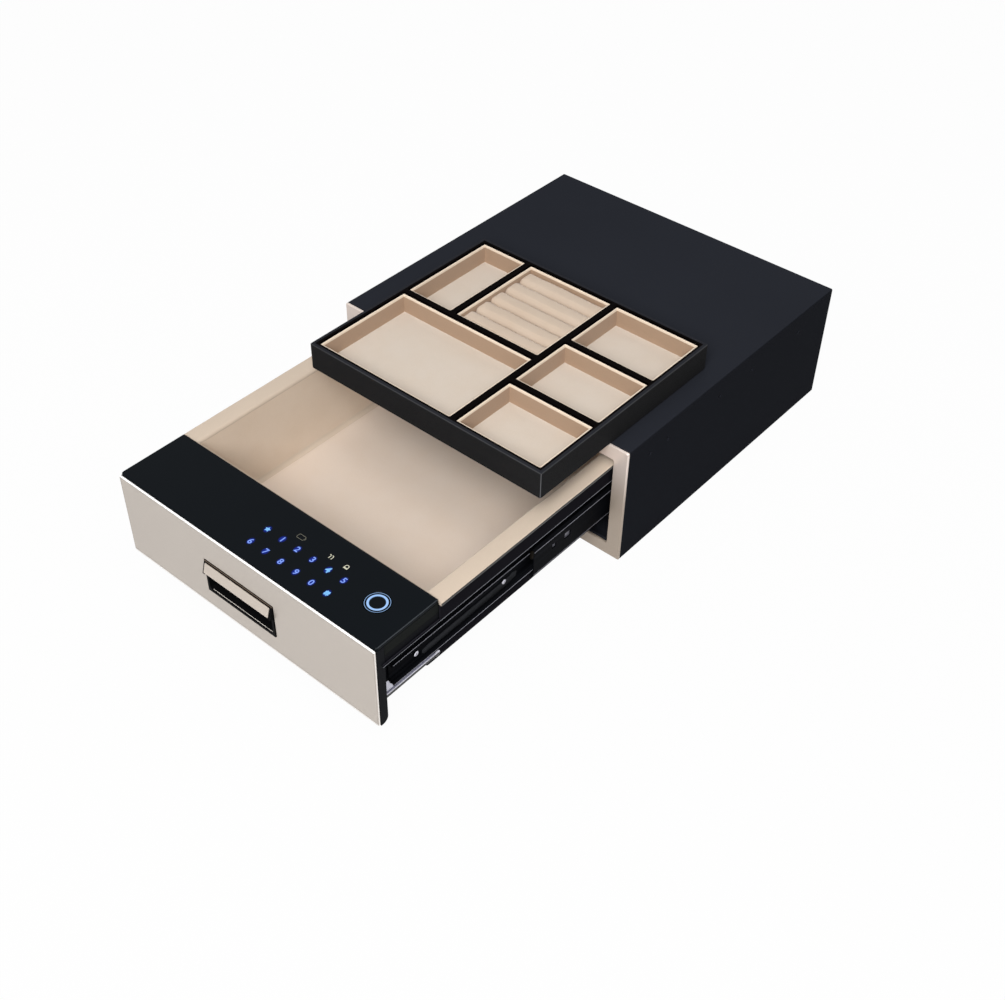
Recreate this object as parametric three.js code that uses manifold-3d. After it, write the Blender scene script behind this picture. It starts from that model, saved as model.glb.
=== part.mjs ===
// Drawer safe for fixing under a desk: a steel cabinet, a lined drawer on ball-bearing
// slides with a touch panel and a motor lock in its front block, and a divided tray.
// Millimetres. X to the right, Y to the back, Z up. The origin is the middle of the
// cabinet's underside. The drawer is modelled pulled out by PULL.rest.
import * as THREE from "three";
import { mergeVertices } from "three/addons/utils/BufferGeometryUtils.js";
import Module from "manifold-3d";

const wasm = await Module();
wasm.setup();

// Driving dimensions
const SEAT = 0.3; // gap between pieces that touch
const PAST = 1; // how far a cutting tool runs past a face
const CABINET = { width: 350, depth: 346, height: 130, wall: 2, edge: 1.5 };
const FRAME = { side: 15.2, bottom: 13.8, top: 15.2, thick: 3, chamfer: 0.8, corner: 1.5 };
const BACK = { sheet: 1.5, rim: 12, inset: 0.5, corner: 1 };
const SIDE_HOLES = { fromTop: 20.5, radius: 2.2, fromFront: [35, 62.6, 146.8, 202, 285.6] };
const PULL = { rest: 224.5, stop: 0.5 };

const DRAWER = { lift: 3.7, flangeTop: 90.6, length: 328, sheet: 1.2, corner: 9 };
const LIP = { gap: 2.3, drop: 17.4, rear: 15 };
const LINER = { wall: 1.8, rimGap: 0.6, rimThick: 4, rimRound: 1.4, cornerIn: 5.7 };
const PAD = { thick: 2, inset: 0.4, corner: 2, edge: 0.6 };

const SLIDE = {
  gap: 1.7, thickness: 14.4, above: 43.2, sheet: 1.2,
  outerHalf: 22.5, middleHalf: 16.6, innerHalf: 11,
  outerLength: 300, middleLength: 295, innerLength: 354, setBack: 11, innerLead: 60.5,
  webMiddle: 10.2, outerBallAt: 7, innerBallAt: 4.6, ballPlay: 0.15,
  outerShoulder: 1.6, outerInset: 1.2, middleShoulder: 3.2, innerShoulder: 1.4,
};
const RACE = { outer: [75, 160], middle: [-50, -90], middleUnder: [90, 140], inner: [-130, -35] };
const CAGE = { strip: 0.8, length: 134, fromFront: 78, balls: 6, endGap: 7 };
const WEB_SLOTS = { sizes: [[5.5, 5.5], [8.6, 7]], corner: 1.2, pitch: 19, fromFront: 28, above: 3 };
const BRACKET = { sheet: 1.5, half: 23 };

const BLOCK = { depth: 73, gap: 3.6, capHeight: 20, wall: 2.5, bottomRise: 9.5, splitAt: 19, corner: 3 };
const FACE = { thick: 2, corner: 2, lowerBy: 1.5, chamfer: 0.9, bottomLift: 5.2 };
const PLATE = { thick: 8.2, corner: 6 };
const GLASS = { thick: 3, above: 2.7, overhang: 0.7, corner: 3, rearCorner: 2, edge: 0.8 };
const SENSOR = { fromRight: 34.4, fromBack: 34.2, radius: 6.6, ringWall: 4.1, play: 0.3, edge: 0.3 };
const HANDLE = {
  x: -6.4, width: 85.2, bottom: 21, height: 36.8, depth: 17, wall: 2.4, proud: 0.6,
  topIn: 0.6, lipOut: 3.4, lipRise: 1, flap: 13.9, corner: 4, rib: 2.6,
};
const HANDLE_PLATE = { width: 80.6, height: 10, thick: 1.2, corner: 0.8, edge: 0.3 };
const BOARD = { width: 176, depth: 48, thick: 1.6, right: 3, corner: 2 };

const CELL = { radius: 7.1, body: 49, edge: 0.6, nubRadius: 2.7, nub: 1.5, gap: 0.5 };
const HOLDER = { wall: 1.6, floor: 1.4, height: 12, left: 6, back: 4 };
const COVER = { play: 0.4, margin: 3, corner: 2, gripHalf: 6, gripDepth: 3, gripCorner: 1 };

const BOLT = {
  radius: 3.5, belowRail: 1.5, play: 0.5, throw: 25.5, behindFrame: 0.5, tipIn: 1.2, nose: 1,
};
const GEAR = {
  module: 1, teeth: 16, width: 6, pressure: 20, root: 1.25, bore: 1.5, backlash: 0.35,
  rackAddendum: 0.8,
};
const RACK = { body: 6, ahead: 6, spare: 5, arm: 12 };
const LOCK_CASE = { sheet: 1.2, sideGap: 1.1, floorGap: 1.4, roof: 3, depth: 14.6 };
const MOTOR = { radius: 7.8, length: 34, footWidth: 20, footInset: 4, boss: 3.4, bossLength: 1.6 };

const TRAY = {
  width: 276.5, depth: 244.5, height: 28, left: -122.3, front: -269,
  wall: 5.7, divider: 5.6, floor: 4, corner: 2, edge: 0.8,
};
const TRAY_CELLS = { leftWidth: 163, frontDepth: 114, smallWidth: 55.8 };
const LINING = { wall: 2, floor: 2.5, below: 1.8, corner: 1.5, lip: 0.8 };
const ROLL = { count: 5, height: 16.5, gap: 0.4, end: 1.2, crown: 7, footIn: 0.8, footRise: 1.5 };

const MATERIALS = {
  cabinetBlack: { color: 0x1d1f23, roughness: 0.55, metalness: 0.2 },
  champagne: { color: 0xc8beb2, roughness: 0.4, metalness: 0.6 },
  slideBlack: { color: 0x1b1c20, roughness: 0.4, metalness: 0.6 },
  bearing: { color: 0xb9bbc0, roughness: 0.25, metalness: 0.9 },
  zinc: { color: 0xc4c5cf, roughness: 0.35, metalness: 0.8 },
  lining: { color: 0xd0c0b0, roughness: 0.9, metalness: 0 },
  mouldedBlack: { color: 0x17181a, roughness: 0.6, metalness: 0 },
  glass: { color: 0x191c20, roughness: 0.1, metalness: 0 },
  light: { color: 0x9cc8ff, roughness: 0.3, metalness: 0 },
  board: { color: 0x1f5a35, roughness: 0.6, metalness: 0 },
  cell: { color: 0x4a4d52, roughness: 0.35, metalness: 0.4 },
  hide: { color: 0x1f1f20, roughness: 0.75, metalness: 0 },
};

// Places that follow from the sizes
const cabinetFront = -CABINET.depth / 2;
const cabinetBack = CABINET.depth / 2;
const innerHalf = CABINET.width / 2 - CABINET.wall;
const opening = {
  half: CABINET.width / 2 - FRAME.side,
  bottom: FRAME.bottom,
  top: CABINET.height - FRAME.top,
};
const shellFront = cabinetFront + FRAME.thick + SEAT;
const shellLipBack = shellFront + CABINET.wall;

const railOut = opening.half - SLIDE.gap;
const tubHalf = railOut - SLIDE.thickness;
const railZ = opening.bottom + SLIDE.above;
const railFrontClosed = cabinetFront + SLIDE.setBack;

const blockBack = cabinetFront - PULL.stop - PULL.rest;
const blockFront = blockBack - BLOCK.depth;
const blockHalf = opening.half - BLOCK.gap;
const tub = {
  front: blockBack + SEAT,
  back: blockBack + DRAWER.length - LIP.rear,
  bottom: opening.bottom + DRAWER.lift,
};
tub.top = opening.bottom + DRAWER.flangeTop;
const lipHalf = opening.half - LIP.gap;
const rimTop = tub.top + SEAT + LINER.rimThick;
const glassTop = rimTop + GLASS.above;
const glassBottom = glassTop - GLASS.thick;
const glassBack = blockBack + GLASS.overhang;
const housingTop = glassBottom - SEAT;
const capBottom = housingTop - BLOCK.capHeight;
const chassisBottom = tub.bottom + BLOCK.bottomRise;
const chassisTop = chassisBottom + BLOCK.splitAt;
const chassisFloor = chassisBottom + DRAWER.sheet;
const faceBack = blockFront + FACE.thick;
const plateFront = faceBack + SEAT;
const plateBack = plateFront + PLATE.thick;
const housingFront = plateBack + SEAT;
const boardTop = housingTop - BLOCK.wall - SEAT;
const sensorX = blockHalf - SENSOR.fromRight;
const sensorY = blockBack - SENSOR.fromBack;

const boltY = shellLipBack + BOLT.behindFrame + BOLT.radius - PULL.rest;
const boltZ = railZ - SLIDE.outerHalf - BOLT.belowRail - BOLT.radius;
const pitchRadius = (GEAR.module * GEAR.teeth) / 2;
const rackLine = boltZ + BOLT.radius + GEAR.module;
const gearZ = rackLine + pitchRadius;
const upperRackLine = gearZ + pitchRadius;
const dedendum = GEAR.root * GEAR.module;
const flankAngle = THREE.MathUtils.degToRad(GEAR.pressure);
const caseBack = tub.front + DRAWER.sheet + SEAT + LOCK_CASE.depth;
const caseBottom = boltZ - BOLT.radius - BOLT.play - LOCK_CASE.floorGap;
const caseTop = upperRackLine + dedendum + RACK.body + LOCK_CASE.roof;
const caseHalf = tubHalf - DRAWER.sheet - LOCK_CASE.sideGap;

// Shape helpers
function rectangle(x0, y0, x1, y1) {
  const outline = new THREE.Shape();
  outline.moveTo(x0, y0);
  outline.lineTo(x1, y0);
  outline.lineTo(x1, y1);
  outline.lineTo(x0, y1);
  outline.closePath();
  return outline;
}

// Corner radii run from the lower left corner, anticlockwise.
function rounded(x0, y0, x1, y1, radii) {
  const [r0, r1, r2, r3] = Array.isArray(radii) ? radii : [radii, radii, radii, radii];
  const outline = new THREE.Shape();
  outline.moveTo(x0 + r0, y0);
  outline.lineTo(x1 - r1, y0);
  if (r1) outline.absarc(x1 - r1, y0 + r1, r1, -Math.PI / 2, 0);
  outline.lineTo(x1, y1 - r2);
  if (r2) outline.absarc(x1 - r2, y1 - r2, r2, 0, Math.PI / 2);
  outline.lineTo(x0 + r3, y1);
  if (r3) outline.absarc(x0 + r3, y1 - r3, r3, Math.PI / 2, Math.PI);
  outline.lineTo(x0, y0 + r0);
  if (r0) outline.absarc(x0 + r0, y0 + r0, r0, Math.PI, Math.PI * 1.5);
  return outline;
}

function polygon(points) {
  return new THREE.Shape(points.map(([x, y]) => new THREE.Vector2(x, y)));
}

function circle(x, y, radius, sides = 28) {
  const step = 360 / sides;
  return polygon(arcPoints(x, y, radius, 0, 360 - step, sides - 1));
}

function arcPoints(cx, cy, radius, from, to, steps) {
  const points = [];
  for (let i = 0; i <= steps; i++) {
    const angle = THREE.MathUtils.degToRad(from + ((to - from) * i) / steps);
    points.push([cx + radius * Math.cos(angle), cy + radius * Math.sin(angle)]);
  }
  return points;
}

// The outline of bent sheet: its middle line, thickened by half a sheet to each side.
function sheetOutline(line, sheet) {
  const side = (sign) =>
    line.map(([x, y], i) => {
      const before = line[Math.max(i - 1, 0)];
      const after = line[Math.min(i + 1, line.length - 1)];
      const into = new THREE.Vector2(x - before[0], y - before[1]).normalize();
      const out = new THREE.Vector2(after[0] - x, after[1] - y).normalize();
      if (i === 0) into.copy(out);
      if (i === line.length - 1) out.copy(into);
      const along = into.clone().add(out).normalize();
      const mitre = sheet / 2 / Math.max(along.dot(into), 0.5);
      return [x - sign * along.y * mitre, y + sign * along.x * mitre];
    });
  return polygon([...side(-1), ...side(1).reverse()]);
}

// An outline drawn in X and Y, raised from z0 to z1, with its edges bevelled if asked.
function alongZ(outline, z0, z1, { bevel = 0, steps = 1, curve = 2 } = {}) {
  const geometry = new THREE.ExtrudeGeometry(outline, {
    depth: z1 - z0 - 2 * bevel,
    bevelEnabled: bevel > 0,
    bevelThickness: bevel,
    bevelSize: bevel,
    bevelOffset: -bevel,
    bevelSegments: steps,
    curveSegments: curve,
  });
  return geometry.translate(0, 0, z0 + bevel);
}

// An outline drawn in X and Z, run from y0 back to y1.
function alongY(outline, y0, y1, options) {
  return alongZ(outline, -y1, -y0, options).rotateX(Math.PI / 2);
}

// An outline drawn in Y and Z, run from x0 to x1.
function alongX(outline, x0, x1, options) {
  const turn = new THREE.Matrix4().makeBasis(
    new THREE.Vector3(0, 1, 0),
    new THREE.Vector3(0, 0, 1),
    new THREE.Vector3(1, 0, 0),
  );
  return alongZ(outline, x0, x1, options).applyMatrix4(turn);
}

function box(x0, x1, y0, y1, z0, z1) {
  const geometry = new THREE.BoxGeometry(x1 - x0, y1 - y0, z1 - z0);
  return geometry.translate((x0 + x1) / 2, (y0 + y1) / 2, (z0 + z1) / 2);
}

function rodAlongX(radius, x0, x1, y, z, sides = 20) {
  const geometry = new THREE.CylinderGeometry(radius, radius, x1 - x0, sides);
  return geometry.rotateZ(Math.PI / 2).translate((x0 + x1) / 2, y, z);
}

function rodAlongY(radius, y0, y1, x, z, sides = 20) {
  return new THREE.CylinderGeometry(radius, radius, y1 - y0, sides).translate(x, (y0 + y1) / 2, z);
}

// Joining and cutting
function toSolid(geometry) {
  const bare = geometry.clone();
  bare.deleteAttribute("normal");
  bare.deleteAttribute("uv");
  const merged = mergeVertices(bare, 1e-4);
  return new wasm.Manifold(
    new wasm.Mesh({
      numProp: 3,
      vertProperties: merged.attributes.position.array,
      triVerts: new Uint32Array(merged.index.array),
    }),
  );
}

function toGeometry(solid) {
  const mesh = solid.getMesh();
  const geometry = new THREE.BufferGeometry();
  geometry.setAttribute("position", new THREE.BufferAttribute(mesh.vertProperties, 3));
  geometry.setIndex(new THREE.BufferAttribute(mesh.triVerts, 1));
  geometry.computeVertexNormals();
  return geometry;
}

function join(...pieces) {
  return toGeometry(pieces.map(toSolid).reduce((whole, piece) => whole.add(piece)));
}

function cut(body, ...tools) {
  return toGeometry(tools.map(toSolid).reduce((left, tool) => left.subtract(tool), toSolid(body)));
}

function meet(body, other) {
  return toGeometry(toSolid(body).intersect(toSolid(other)));
}

function mirroredX(geometry) {
  const flipped = geometry.index ? geometry.toNonIndexed() : geometry.clone();
  flipped.scale(-1, 1, 1);
  const position = flipped.attributes.position;
  const corner = new THREE.Vector3();
  const other = new THREE.Vector3();
  for (let i = 0; i < position.count; i += 3) {
    corner.fromBufferAttribute(position, i + 1);
    other.fromBufferAttribute(position, i + 2);
    position.setXYZ(i + 1, other.x, other.y, other.z);
    position.setXYZ(i + 2, corner.x, corner.y, corner.z);
  }
  flipped.computeVertexNormals();
  return flipped;
}

const part = new THREE.Group();

function add(name, geometry, material, parent = part) {
  const mesh = new THREE.Mesh(geometry, new THREE.MeshStandardMaterial(MATERIALS[material]));
  mesh.name = name;
  parent.add(mesh);
  return mesh;
}

// A piece modelled on the right, and its mirror image on the left.
function addPair(name, geometry, material) {
  add(`${name}_right`, geometry, material);
  add(`${name}_left`, mirroredX(geometry), material);
}

// The cabinet: a folded steel sleeve with a lip round its mouth
function cabinetShell() {
  const half = CABINET.width / 2;
  const outside = rounded(-half, 0, half, CABINET.height, CABINET.edge);
  const inside = rounded(
    -innerHalf, CABINET.wall, innerHalf, CABINET.height - CABINET.wall,
    Math.max(CABINET.edge - CABINET.wall, 0),
  );
  const mouth = rectangle(-opening.half, opening.bottom, opening.half, opening.top);
  const holeZ = CABINET.height - SIDE_HOLES.fromTop;
  const holes = SIDE_HOLES.fromFront.map((back) =>
    rodAlongX(SIDE_HOLES.radius, -half - PAST, half + PAST, cabinetFront + back, holeZ, 12),
  );
  return cut(
    alongY(outside, shellFront, cabinetBack),
    alongY(inside, shellLipBack, cabinetBack + PAST),
    alongY(mouth, shellFront - PAST, shellLipBack + PAST),
    ...holes,
  );
}

// The metal surround at the front, chamfered on its edges
function frontFrame() {
  const half = CABINET.width / 2;
  const outline = rounded(-half, 0, half, CABINET.height, CABINET.edge);
  const mouth = rounded(-opening.half, opening.bottom, opening.half, opening.top, FRAME.corner);
  outline.holes.push(mouth);
  return alongY(outline, cabinetFront, cabinetFront + FRAME.thick, { bevel: FRAME.chamfer });
}

// The back: a shallow folded pan held inside the sleeve
function backPanel() {
  const half = innerHalf - SEAT;
  const low = CABINET.wall + SEAT;
  const high = CABINET.height - low;
  const back = cabinetBack - BACK.inset;
  const front = back - BACK.rim;
  const sheet = BACK.sheet;
  const inside = rectangle(-half + sheet, low + sheet, half - sheet, high - sheet);
  return cut(
    alongY(rounded(-half, low, half, high, BACK.corner), front, back),
    alongY(inside, front - PAST, back - sheet),
  );
}

// A channel that carries the fixed rail from the cabinet's side
function slideBracket() {
  const front = railFrontClosed;
  const web = railOut + SEAT + BRACKET.sheet / 2;
  const arm = BRACKET.half - BRACKET.sheet / 2;
  const line = [
    [innerHalf - SEAT, railZ - arm],
    [web, railZ - arm],
    [web, railZ + arm],
    [innerHalf - SEAT, railZ + arm],
  ];
  return alongY(sheetOutline(line, BRACKET.sheet), front, front + SLIDE.outerLength);
}

// The slide's races. u is measured outwards from the drawer's side and v up from the rail's middle.
const halfSheet = SLIDE.sheet / 2;
const outerBall = {
  u: SLIDE.outerBallAt,
  v: (SLIDE.outerHalf - SLIDE.sheet + SLIDE.middleHalf) / 2,
  radius: (SLIDE.outerHalf - SLIDE.sheet - SLIDE.middleHalf) / 2 - SLIDE.ballPlay,
};
const innerBall = {
  u: SLIDE.innerBallAt,
  v: (SLIDE.middleHalf - SLIDE.sheet + SLIDE.innerHalf) / 2,
  radius: (SLIDE.middleHalf - SLIDE.sheet - SLIDE.innerHalf) / 2 - SLIDE.ballPlay,
};

function raceArc(ball, from, to, steps = 4) {
  return arcPoints(ball.u, ball.v, ball.radius + SLIDE.ballPlay + halfSheet, from, to, steps);
}

// The upper half of a rail's middle line is mirrored to the lower half and run back along Y.
function rail(upperHalf, front, length) {
  const lower = upperHalf.map(([u, v]) => [u, -v]).reverse();
  const line = [...lower, ...upperHalf].map(([u, v]) => [tubHalf + u, railZ + v]);
  return alongY(sheetOutline(line, SLIDE.sheet), front, front + length);
}

function slideOuter() {
  const web = SLIDE.thickness - halfSheet;
  const top = SLIDE.outerHalf - halfSheet;
  const race = raceArc(outerBall, ...RACE.outer);
  const shoulder = [
    [web, top - SLIDE.outerShoulder],
    [web - SLIDE.outerInset, race[0][1]],
  ];
  return rail([...shoulder, ...race], railFrontClosed, SLIDE.outerLength);
}

const middleFront = railFrontClosed - PULL.rest / 2;

// The slots in a rail's web, cut through along X
function webSlots(front, u) {
  return WEB_SLOTS.sizes.map(([length, height], i) => {
    const y = front + WEB_SLOTS.fromFront + i * WEB_SLOTS.pitch;
    const z = railZ + WEB_SLOTS.above;
    const outline = rounded(
      y - length / 2, z - height / 2, y + length / 2, z + height / 2, WEB_SLOTS.corner,
    );
    return alongX(outline, tubHalf + u - SLIDE.sheet, tubHalf + u + SLIDE.sheet);
  });
}

function slideMiddle() {
  const web = SLIDE.webMiddle;
  const upper = raceArc(outerBall, ...RACE.middle, 3);
  const under = raceArc(innerBall, ...RACE.middleUnder, 3);
  const shoulder = [web, upper[0][1] - SLIDE.middleShoulder];
  const body = rail([shoulder, ...upper, ...under], middleFront, SLIDE.middleLength);
  return cut(body, ...webSlots(middleFront, web));
}

const innerFront = railFrontClosed - SLIDE.innerLead - PULL.rest;

function slideInner() {
  const web = SEAT + halfSheet;
  const race = raceArc(innerBall, ...RACE.inner);
  return rail([[web, race[0][1] - SLIDE.innerShoulder], ...race], innerFront, SLIDE.innerLength);
}

// A ball cage: a channel of thin strip with two rows of balls
function ballCage(ball, webU, tipU, front) {
  const strip = CAGE.strip;
  const line = [
    [tipU, -ball.v],
    [webU, -ball.v],
    [webU, ball.v],
    [tipU, ball.v],
  ].map(([u, v]) => [tubHalf + u, railZ + v]);
  const pieces = [alongY(sheetOutline(line, strip), front, front + CAGE.length)];
  const pitch = (CAGE.length - 2 * CAGE.endGap) / (CAGE.balls - 1);
  for (const side of [-1, 1])
    for (let i = 0; i < CAGE.balls; i++) {
      const sphere = new THREE.SphereGeometry(ball.radius, 6, 5);
      const y = front + CAGE.endGap + i * pitch;
      pieces.push(sphere.translate(tubHalf + ball.u, y, railZ + side * ball.v));
    }
  return join(...pieces);
}

function addSlides() {
  addPair("slide_bracket", slideBracket(), "cabinetBlack");
  addPair("slide_outer", slideOuter(), "slideBlack");
  addPair("slide_middle", slideMiddle(), "slideBlack");
  addPair("slide_inner", slideInner(), "slideBlack");
  const cageClosed = railFrontClosed + CAGE.fromFront;
  const betweenWebs = (SLIDE.webMiddle + SLIDE.thickness - halfSheet) / 2;
  const outerCage = ballCage(
    outerBall, betweenWebs, outerBall.u - outerBall.radius, cageClosed - PULL.rest / 4,
  );
  addPair("ball_cage_outer", outerCage, "bearing");
  const lipTip = innerBall.u + innerBall.radius + SLIDE.ballPlay + SLIDE.sheet;
  const besideLip = (SLIDE.webMiddle - halfSheet + lipTip) / 2;
  const innerCage = ballCage(
    innerBall, besideLip, innerBall.u - innerBall.radius, cageClosed - (PULL.rest * 3) / 4,
  );
  addPair("ball_cage_inner", innerCage, "bearing");
}

// The hole for the motor's boss in a wall between two depths
function shaftHole(front, back) {
  return rodAlongY(MOTOR.boss + BOLT.play, front - PAST, back + PAST, 0, gearZ);
}

// The drawer's steel tub, with a flange and lip that overhang the slides
function tubProfile(shrink, top) {
  const radius = DRAWER.corner - shrink;
  return rounded(-tubHalf + shrink, tub.bottom + shrink, tubHalf - shrink, top, [radius, radius, 0, 0]);
}

function drawerBody() {
  const sheet = DRAWER.sheet;
  const lipBack = tub.back + LIP.rear;
  const flange = rectangle(-lipHalf, tub.front, lipHalf, lipBack);
  const well = rectangle(-tubHalf + sheet, tub.front + sheet, tubHalf - sheet, tub.back - sheet);
  const underLip = rectangle(-lipHalf + sheet, tub.front - PAST, lipHalf - sheet, lipBack - sheet);
  const lip = cut(
    alongZ(flange, tub.top - LIP.drop, tub.top),
    alongZ(underLip, tub.top - LIP.drop - PAST, tub.top - sheet),
  );
  const shell = join(alongY(tubProfile(0, tub.top), tub.front, tub.back), lip);
  const hollow = alongY(tubProfile(sheet, tub.top + PAST), tub.front + sheet, tub.back - sheet);
  const boltHole = rodAlongX(BOLT.radius + BOLT.play, -tubHalf - PAST, tubHalf + PAST, boltY, boltZ);
  const mouth = alongZ(well, tub.top - sheet - PAST, tub.top + PAST);
  return cut(shell, hollow, mouth, boltHole, shaftHole(tub.front, tub.front + sheet));
}

// The lining: a moulded tub that steps over the lock, with a padded rim on three sides
const liner = {
  front: tub.front + DRAWER.sheet + SEAT,
  stepFront: caseBack + SEAT,
  step: caseTop + SEAT,
  back: tub.back - DRAWER.sheet - SEAT,
  half: tubHalf - DRAWER.sheet - SEAT,
  floor: tub.bottom + DRAWER.sheet + SEAT + LINER.wall,
};

function linerRim(inner, innerBack) {
  const rimHalf = opening.half - LINER.rimGap;
  const front = glassBack + SEAT;
  const back = tub.back + LIP.rear + LIP.gap - LINER.rimGap;
  const turn = LINER.rimThick;
  const round = LINER.cornerIn;
  const rim = new THREE.Shape();
  rim.moveTo(inner, front);
  rim.lineTo(rimHalf, front);
  rim.lineTo(rimHalf, back - turn);
  rim.absarc(rimHalf - turn, back - turn, turn, 0, Math.PI / 2);
  rim.lineTo(-rimHalf + turn, back);
  rim.absarc(-rimHalf + turn, back - turn, turn, Math.PI / 2, Math.PI);
  rim.lineTo(-rimHalf, front);
  rim.lineTo(-inner, front);
  rim.lineTo(-inner, innerBack - round);
  rim.absarc(-inner + round, innerBack - round, round, Math.PI, Math.PI / 2, true);
  rim.lineTo(inner - round, innerBack);
  rim.absarc(inner - round, innerBack - round, round, Math.PI / 2, 0, true);
  rim.closePath();
  return alongZ(rim, tub.top + SEAT, rimTop, { bevel: LINER.rimRound, steps: 2 });
}

function drawerLiner() {
  const wall = LINER.wall;
  const inner = liner.half - wall;
  const innerBack = liner.back - wall;
  const round = LINER.cornerIn;
  const above = rimTop + PAST;
  const outside = tubProfile(DRAWER.sheet + SEAT, rimTop - LINER.rimRound);
  const inside = tubProfile(DRAWER.sheet + SEAT + wall, above);
  const lowerPlan = rounded(-inner, liner.stepFront + wall, inner, innerBack, [0, 0, round, round]);
  const lowerWell = meet(
    alongY(inside, liner.stepFront + wall, innerBack),
    alongZ(lowerPlan, tub.bottom, above),
  );
  const wellFront = liner.front + wall;
  const overLock = box(-inner, inner, wellFront, liner.stepFront + wall + PAST, liner.step + wall, above);
  const lockRoom = box(
    -liner.half - PAST, liner.half + PAST, liner.front - PAST, liner.stepFront, tub.bottom, liner.step,
  );
  const walls = cut(alongY(outside, liner.front, liner.back), lowerWell, overLock, lockRoom);
  return join(walls, linerRim(inner, innerBack));
}

function drawerFloorPad() {
  const half = tubHalf - DRAWER.corner - PAD.inset;
  const front = liner.stepFront + LINER.wall + PAD.inset;
  const back = liner.back - LINER.wall - PAD.inset;
  const low = liner.floor + SEAT;
  const plan = rounded(
    -half, front, half, back, [PAD.corner, PAD.corner, LINER.cornerIn, LINER.cornerIn],
  );
  return alongZ(plan, low, low + PAD.thick, { bevel: PAD.edge });
}

// The front block: face, backing plate, moulded housing, chassis and glass
const faceBottom = opening.bottom + FACE.bottomLift;
const handle = {
  left: HANDLE.x - HANDLE.width / 2,
  right: HANDLE.x + HANDLE.width / 2,
  bottom: faceBottom + HANDLE.bottom,
};
handle.top = handle.bottom + HANDLE.height;

function handleWindow(play) {
  return rectangle(handle.left - play, handle.bottom - play, handle.right + play, handle.top + play);
}

function frontFace() {
  const top = glassTop - FACE.lowerBy;
  const outline = rounded(-blockHalf, faceBottom, blockHalf, top, FACE.corner);
  outline.holes.push(handleWindow(SEAT));
  return alongY(outline, blockFront, faceBack, { bevel: FACE.chamfer });
}

function frontPlate() {
  const side = rounded(plateFront, faceBottom, plateBack, glassBottom - SEAT, [0, PLATE.corner, 0, 0]);
  return cut(
    alongX(side, -blockHalf, blockHalf),
    alongY(handleWindow(SEAT), plateFront - PAST, plateBack + PAST),
  );
}

function sensorHole() {
  return circle(sensorX, sensorY, SENSOR.radius + SENSOR.ringWall + 2 * SENSOR.play);
}

function blockHousing() {
  const wall = BLOCK.wall;
  const low = chassisTop + SEAT;
  const section = polygon([
    [-tubHalf, low],
    [tubHalf, low],
    [tubHalf, capBottom],
    [blockHalf, capBottom],
    [blockHalf, housingTop],
    [-blockHalf, housingTop],
    [-blockHalf, capBottom],
    [-tubHalf, capBottom],
  ]);
  const inside = rectangle(-tubHalf + wall, low - PAST, tubHalf - wall, housingTop - wall);
  return cut(
    alongY(section, housingFront, blockBack),
    alongY(inside, housingFront + wall, blockBack - wall),
    alongZ(sensorHole(), housingTop - wall - PAST, housingTop + PAST),
    alongY(handleWindow(SEAT), housingFront - PAST, housingFront + wall + PAST),
    shaftHole(blockBack - wall, blockBack),
  );
}

const holder = {
  left: -tubHalf + DRAWER.sheet + HOLDER.left,
  bottom: chassisFloor + SEAT,
  length: 2 * (CELL.body + CELL.nub + CELL.gap) + 3 * HOLDER.wall,
  width: 2 * (2 * CELL.radius + CELL.gap) + 3 * HOLDER.wall,
};
holder.front = blockBack - DRAWER.sheet - HOLDER.back - holder.width;

// The zinc-plated chassis: a tray with a battery door cut in its floor
function coverPlan(play) {
  const inset = COVER.margin - play;
  return rounded(
    holder.left + inset, holder.front + inset,
    holder.left + holder.length - inset, holder.front + holder.width - inset, COVER.corner,
  );
}

function blockChassis() {
  const sheet = DRAWER.sheet;
  const corner = BLOCK.corner;
  const inner = corner - sheet;
  const outside = rounded(-tubHalf, chassisBottom, tubHalf, chassisTop, [corner, corner, 0, 0]);
  const inside = rounded(
    -tubHalf + sheet, chassisFloor, tubHalf - sheet, chassisTop + PAST, [inner, inner, 0, 0],
  );
  return cut(
    alongY(outside, housingFront, blockBack),
    alongY(inside, housingFront + sheet, blockBack - sheet),
    alongZ(coverPlan(COVER.play), chassisBottom - PAST, chassisFloor + PAST),
    alongY(handleWindow(SEAT), housingFront - PAST, housingFront + sheet + PAST),
    shaftHole(blockBack - sheet, blockBack),
  );
}

function touchPanel() {
  const corners = [GLASS.corner, GLASS.corner, GLASS.rearCorner, GLASS.rearCorner];
  const plan = rounded(-blockHalf, faceBack + SEAT, blockHalf, glassBack, corners);
  plan.holes.push(sensorHole());
  return alongZ(plan, glassBottom, glassTop, { bevel: GLASS.edge });
}

function addSensor() {
  const low = boardTop + SEAT;
  const disc = circle(sensorX, sensorY, SENSOR.radius);
  add("fingerprint_sensor", alongZ(disc, low, glassTop, { bevel: SENSOR.edge }), "glass");
  const ring = circle(sensorX, sensorY, SENSOR.radius + SENSOR.play + SENSOR.ringWall);
  ring.holes.push(circle(sensorX, sensorY, SENSOR.radius + SENSOR.play));
  add("fingerprint_ring", alongZ(ring, low, glassTop), "light");
}

function controlBoard() {
  const right = tubHalf - BLOCK.wall - BOARD.right;
  const front = (housingFront + blockBack - BOARD.depth) / 2;
  const plan = rounded(right - BOARD.width, front, right, front + BOARD.depth, BOARD.corner);
  return alongZ(plan, boardTop - BOARD.thick, boardTop);
}

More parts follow.
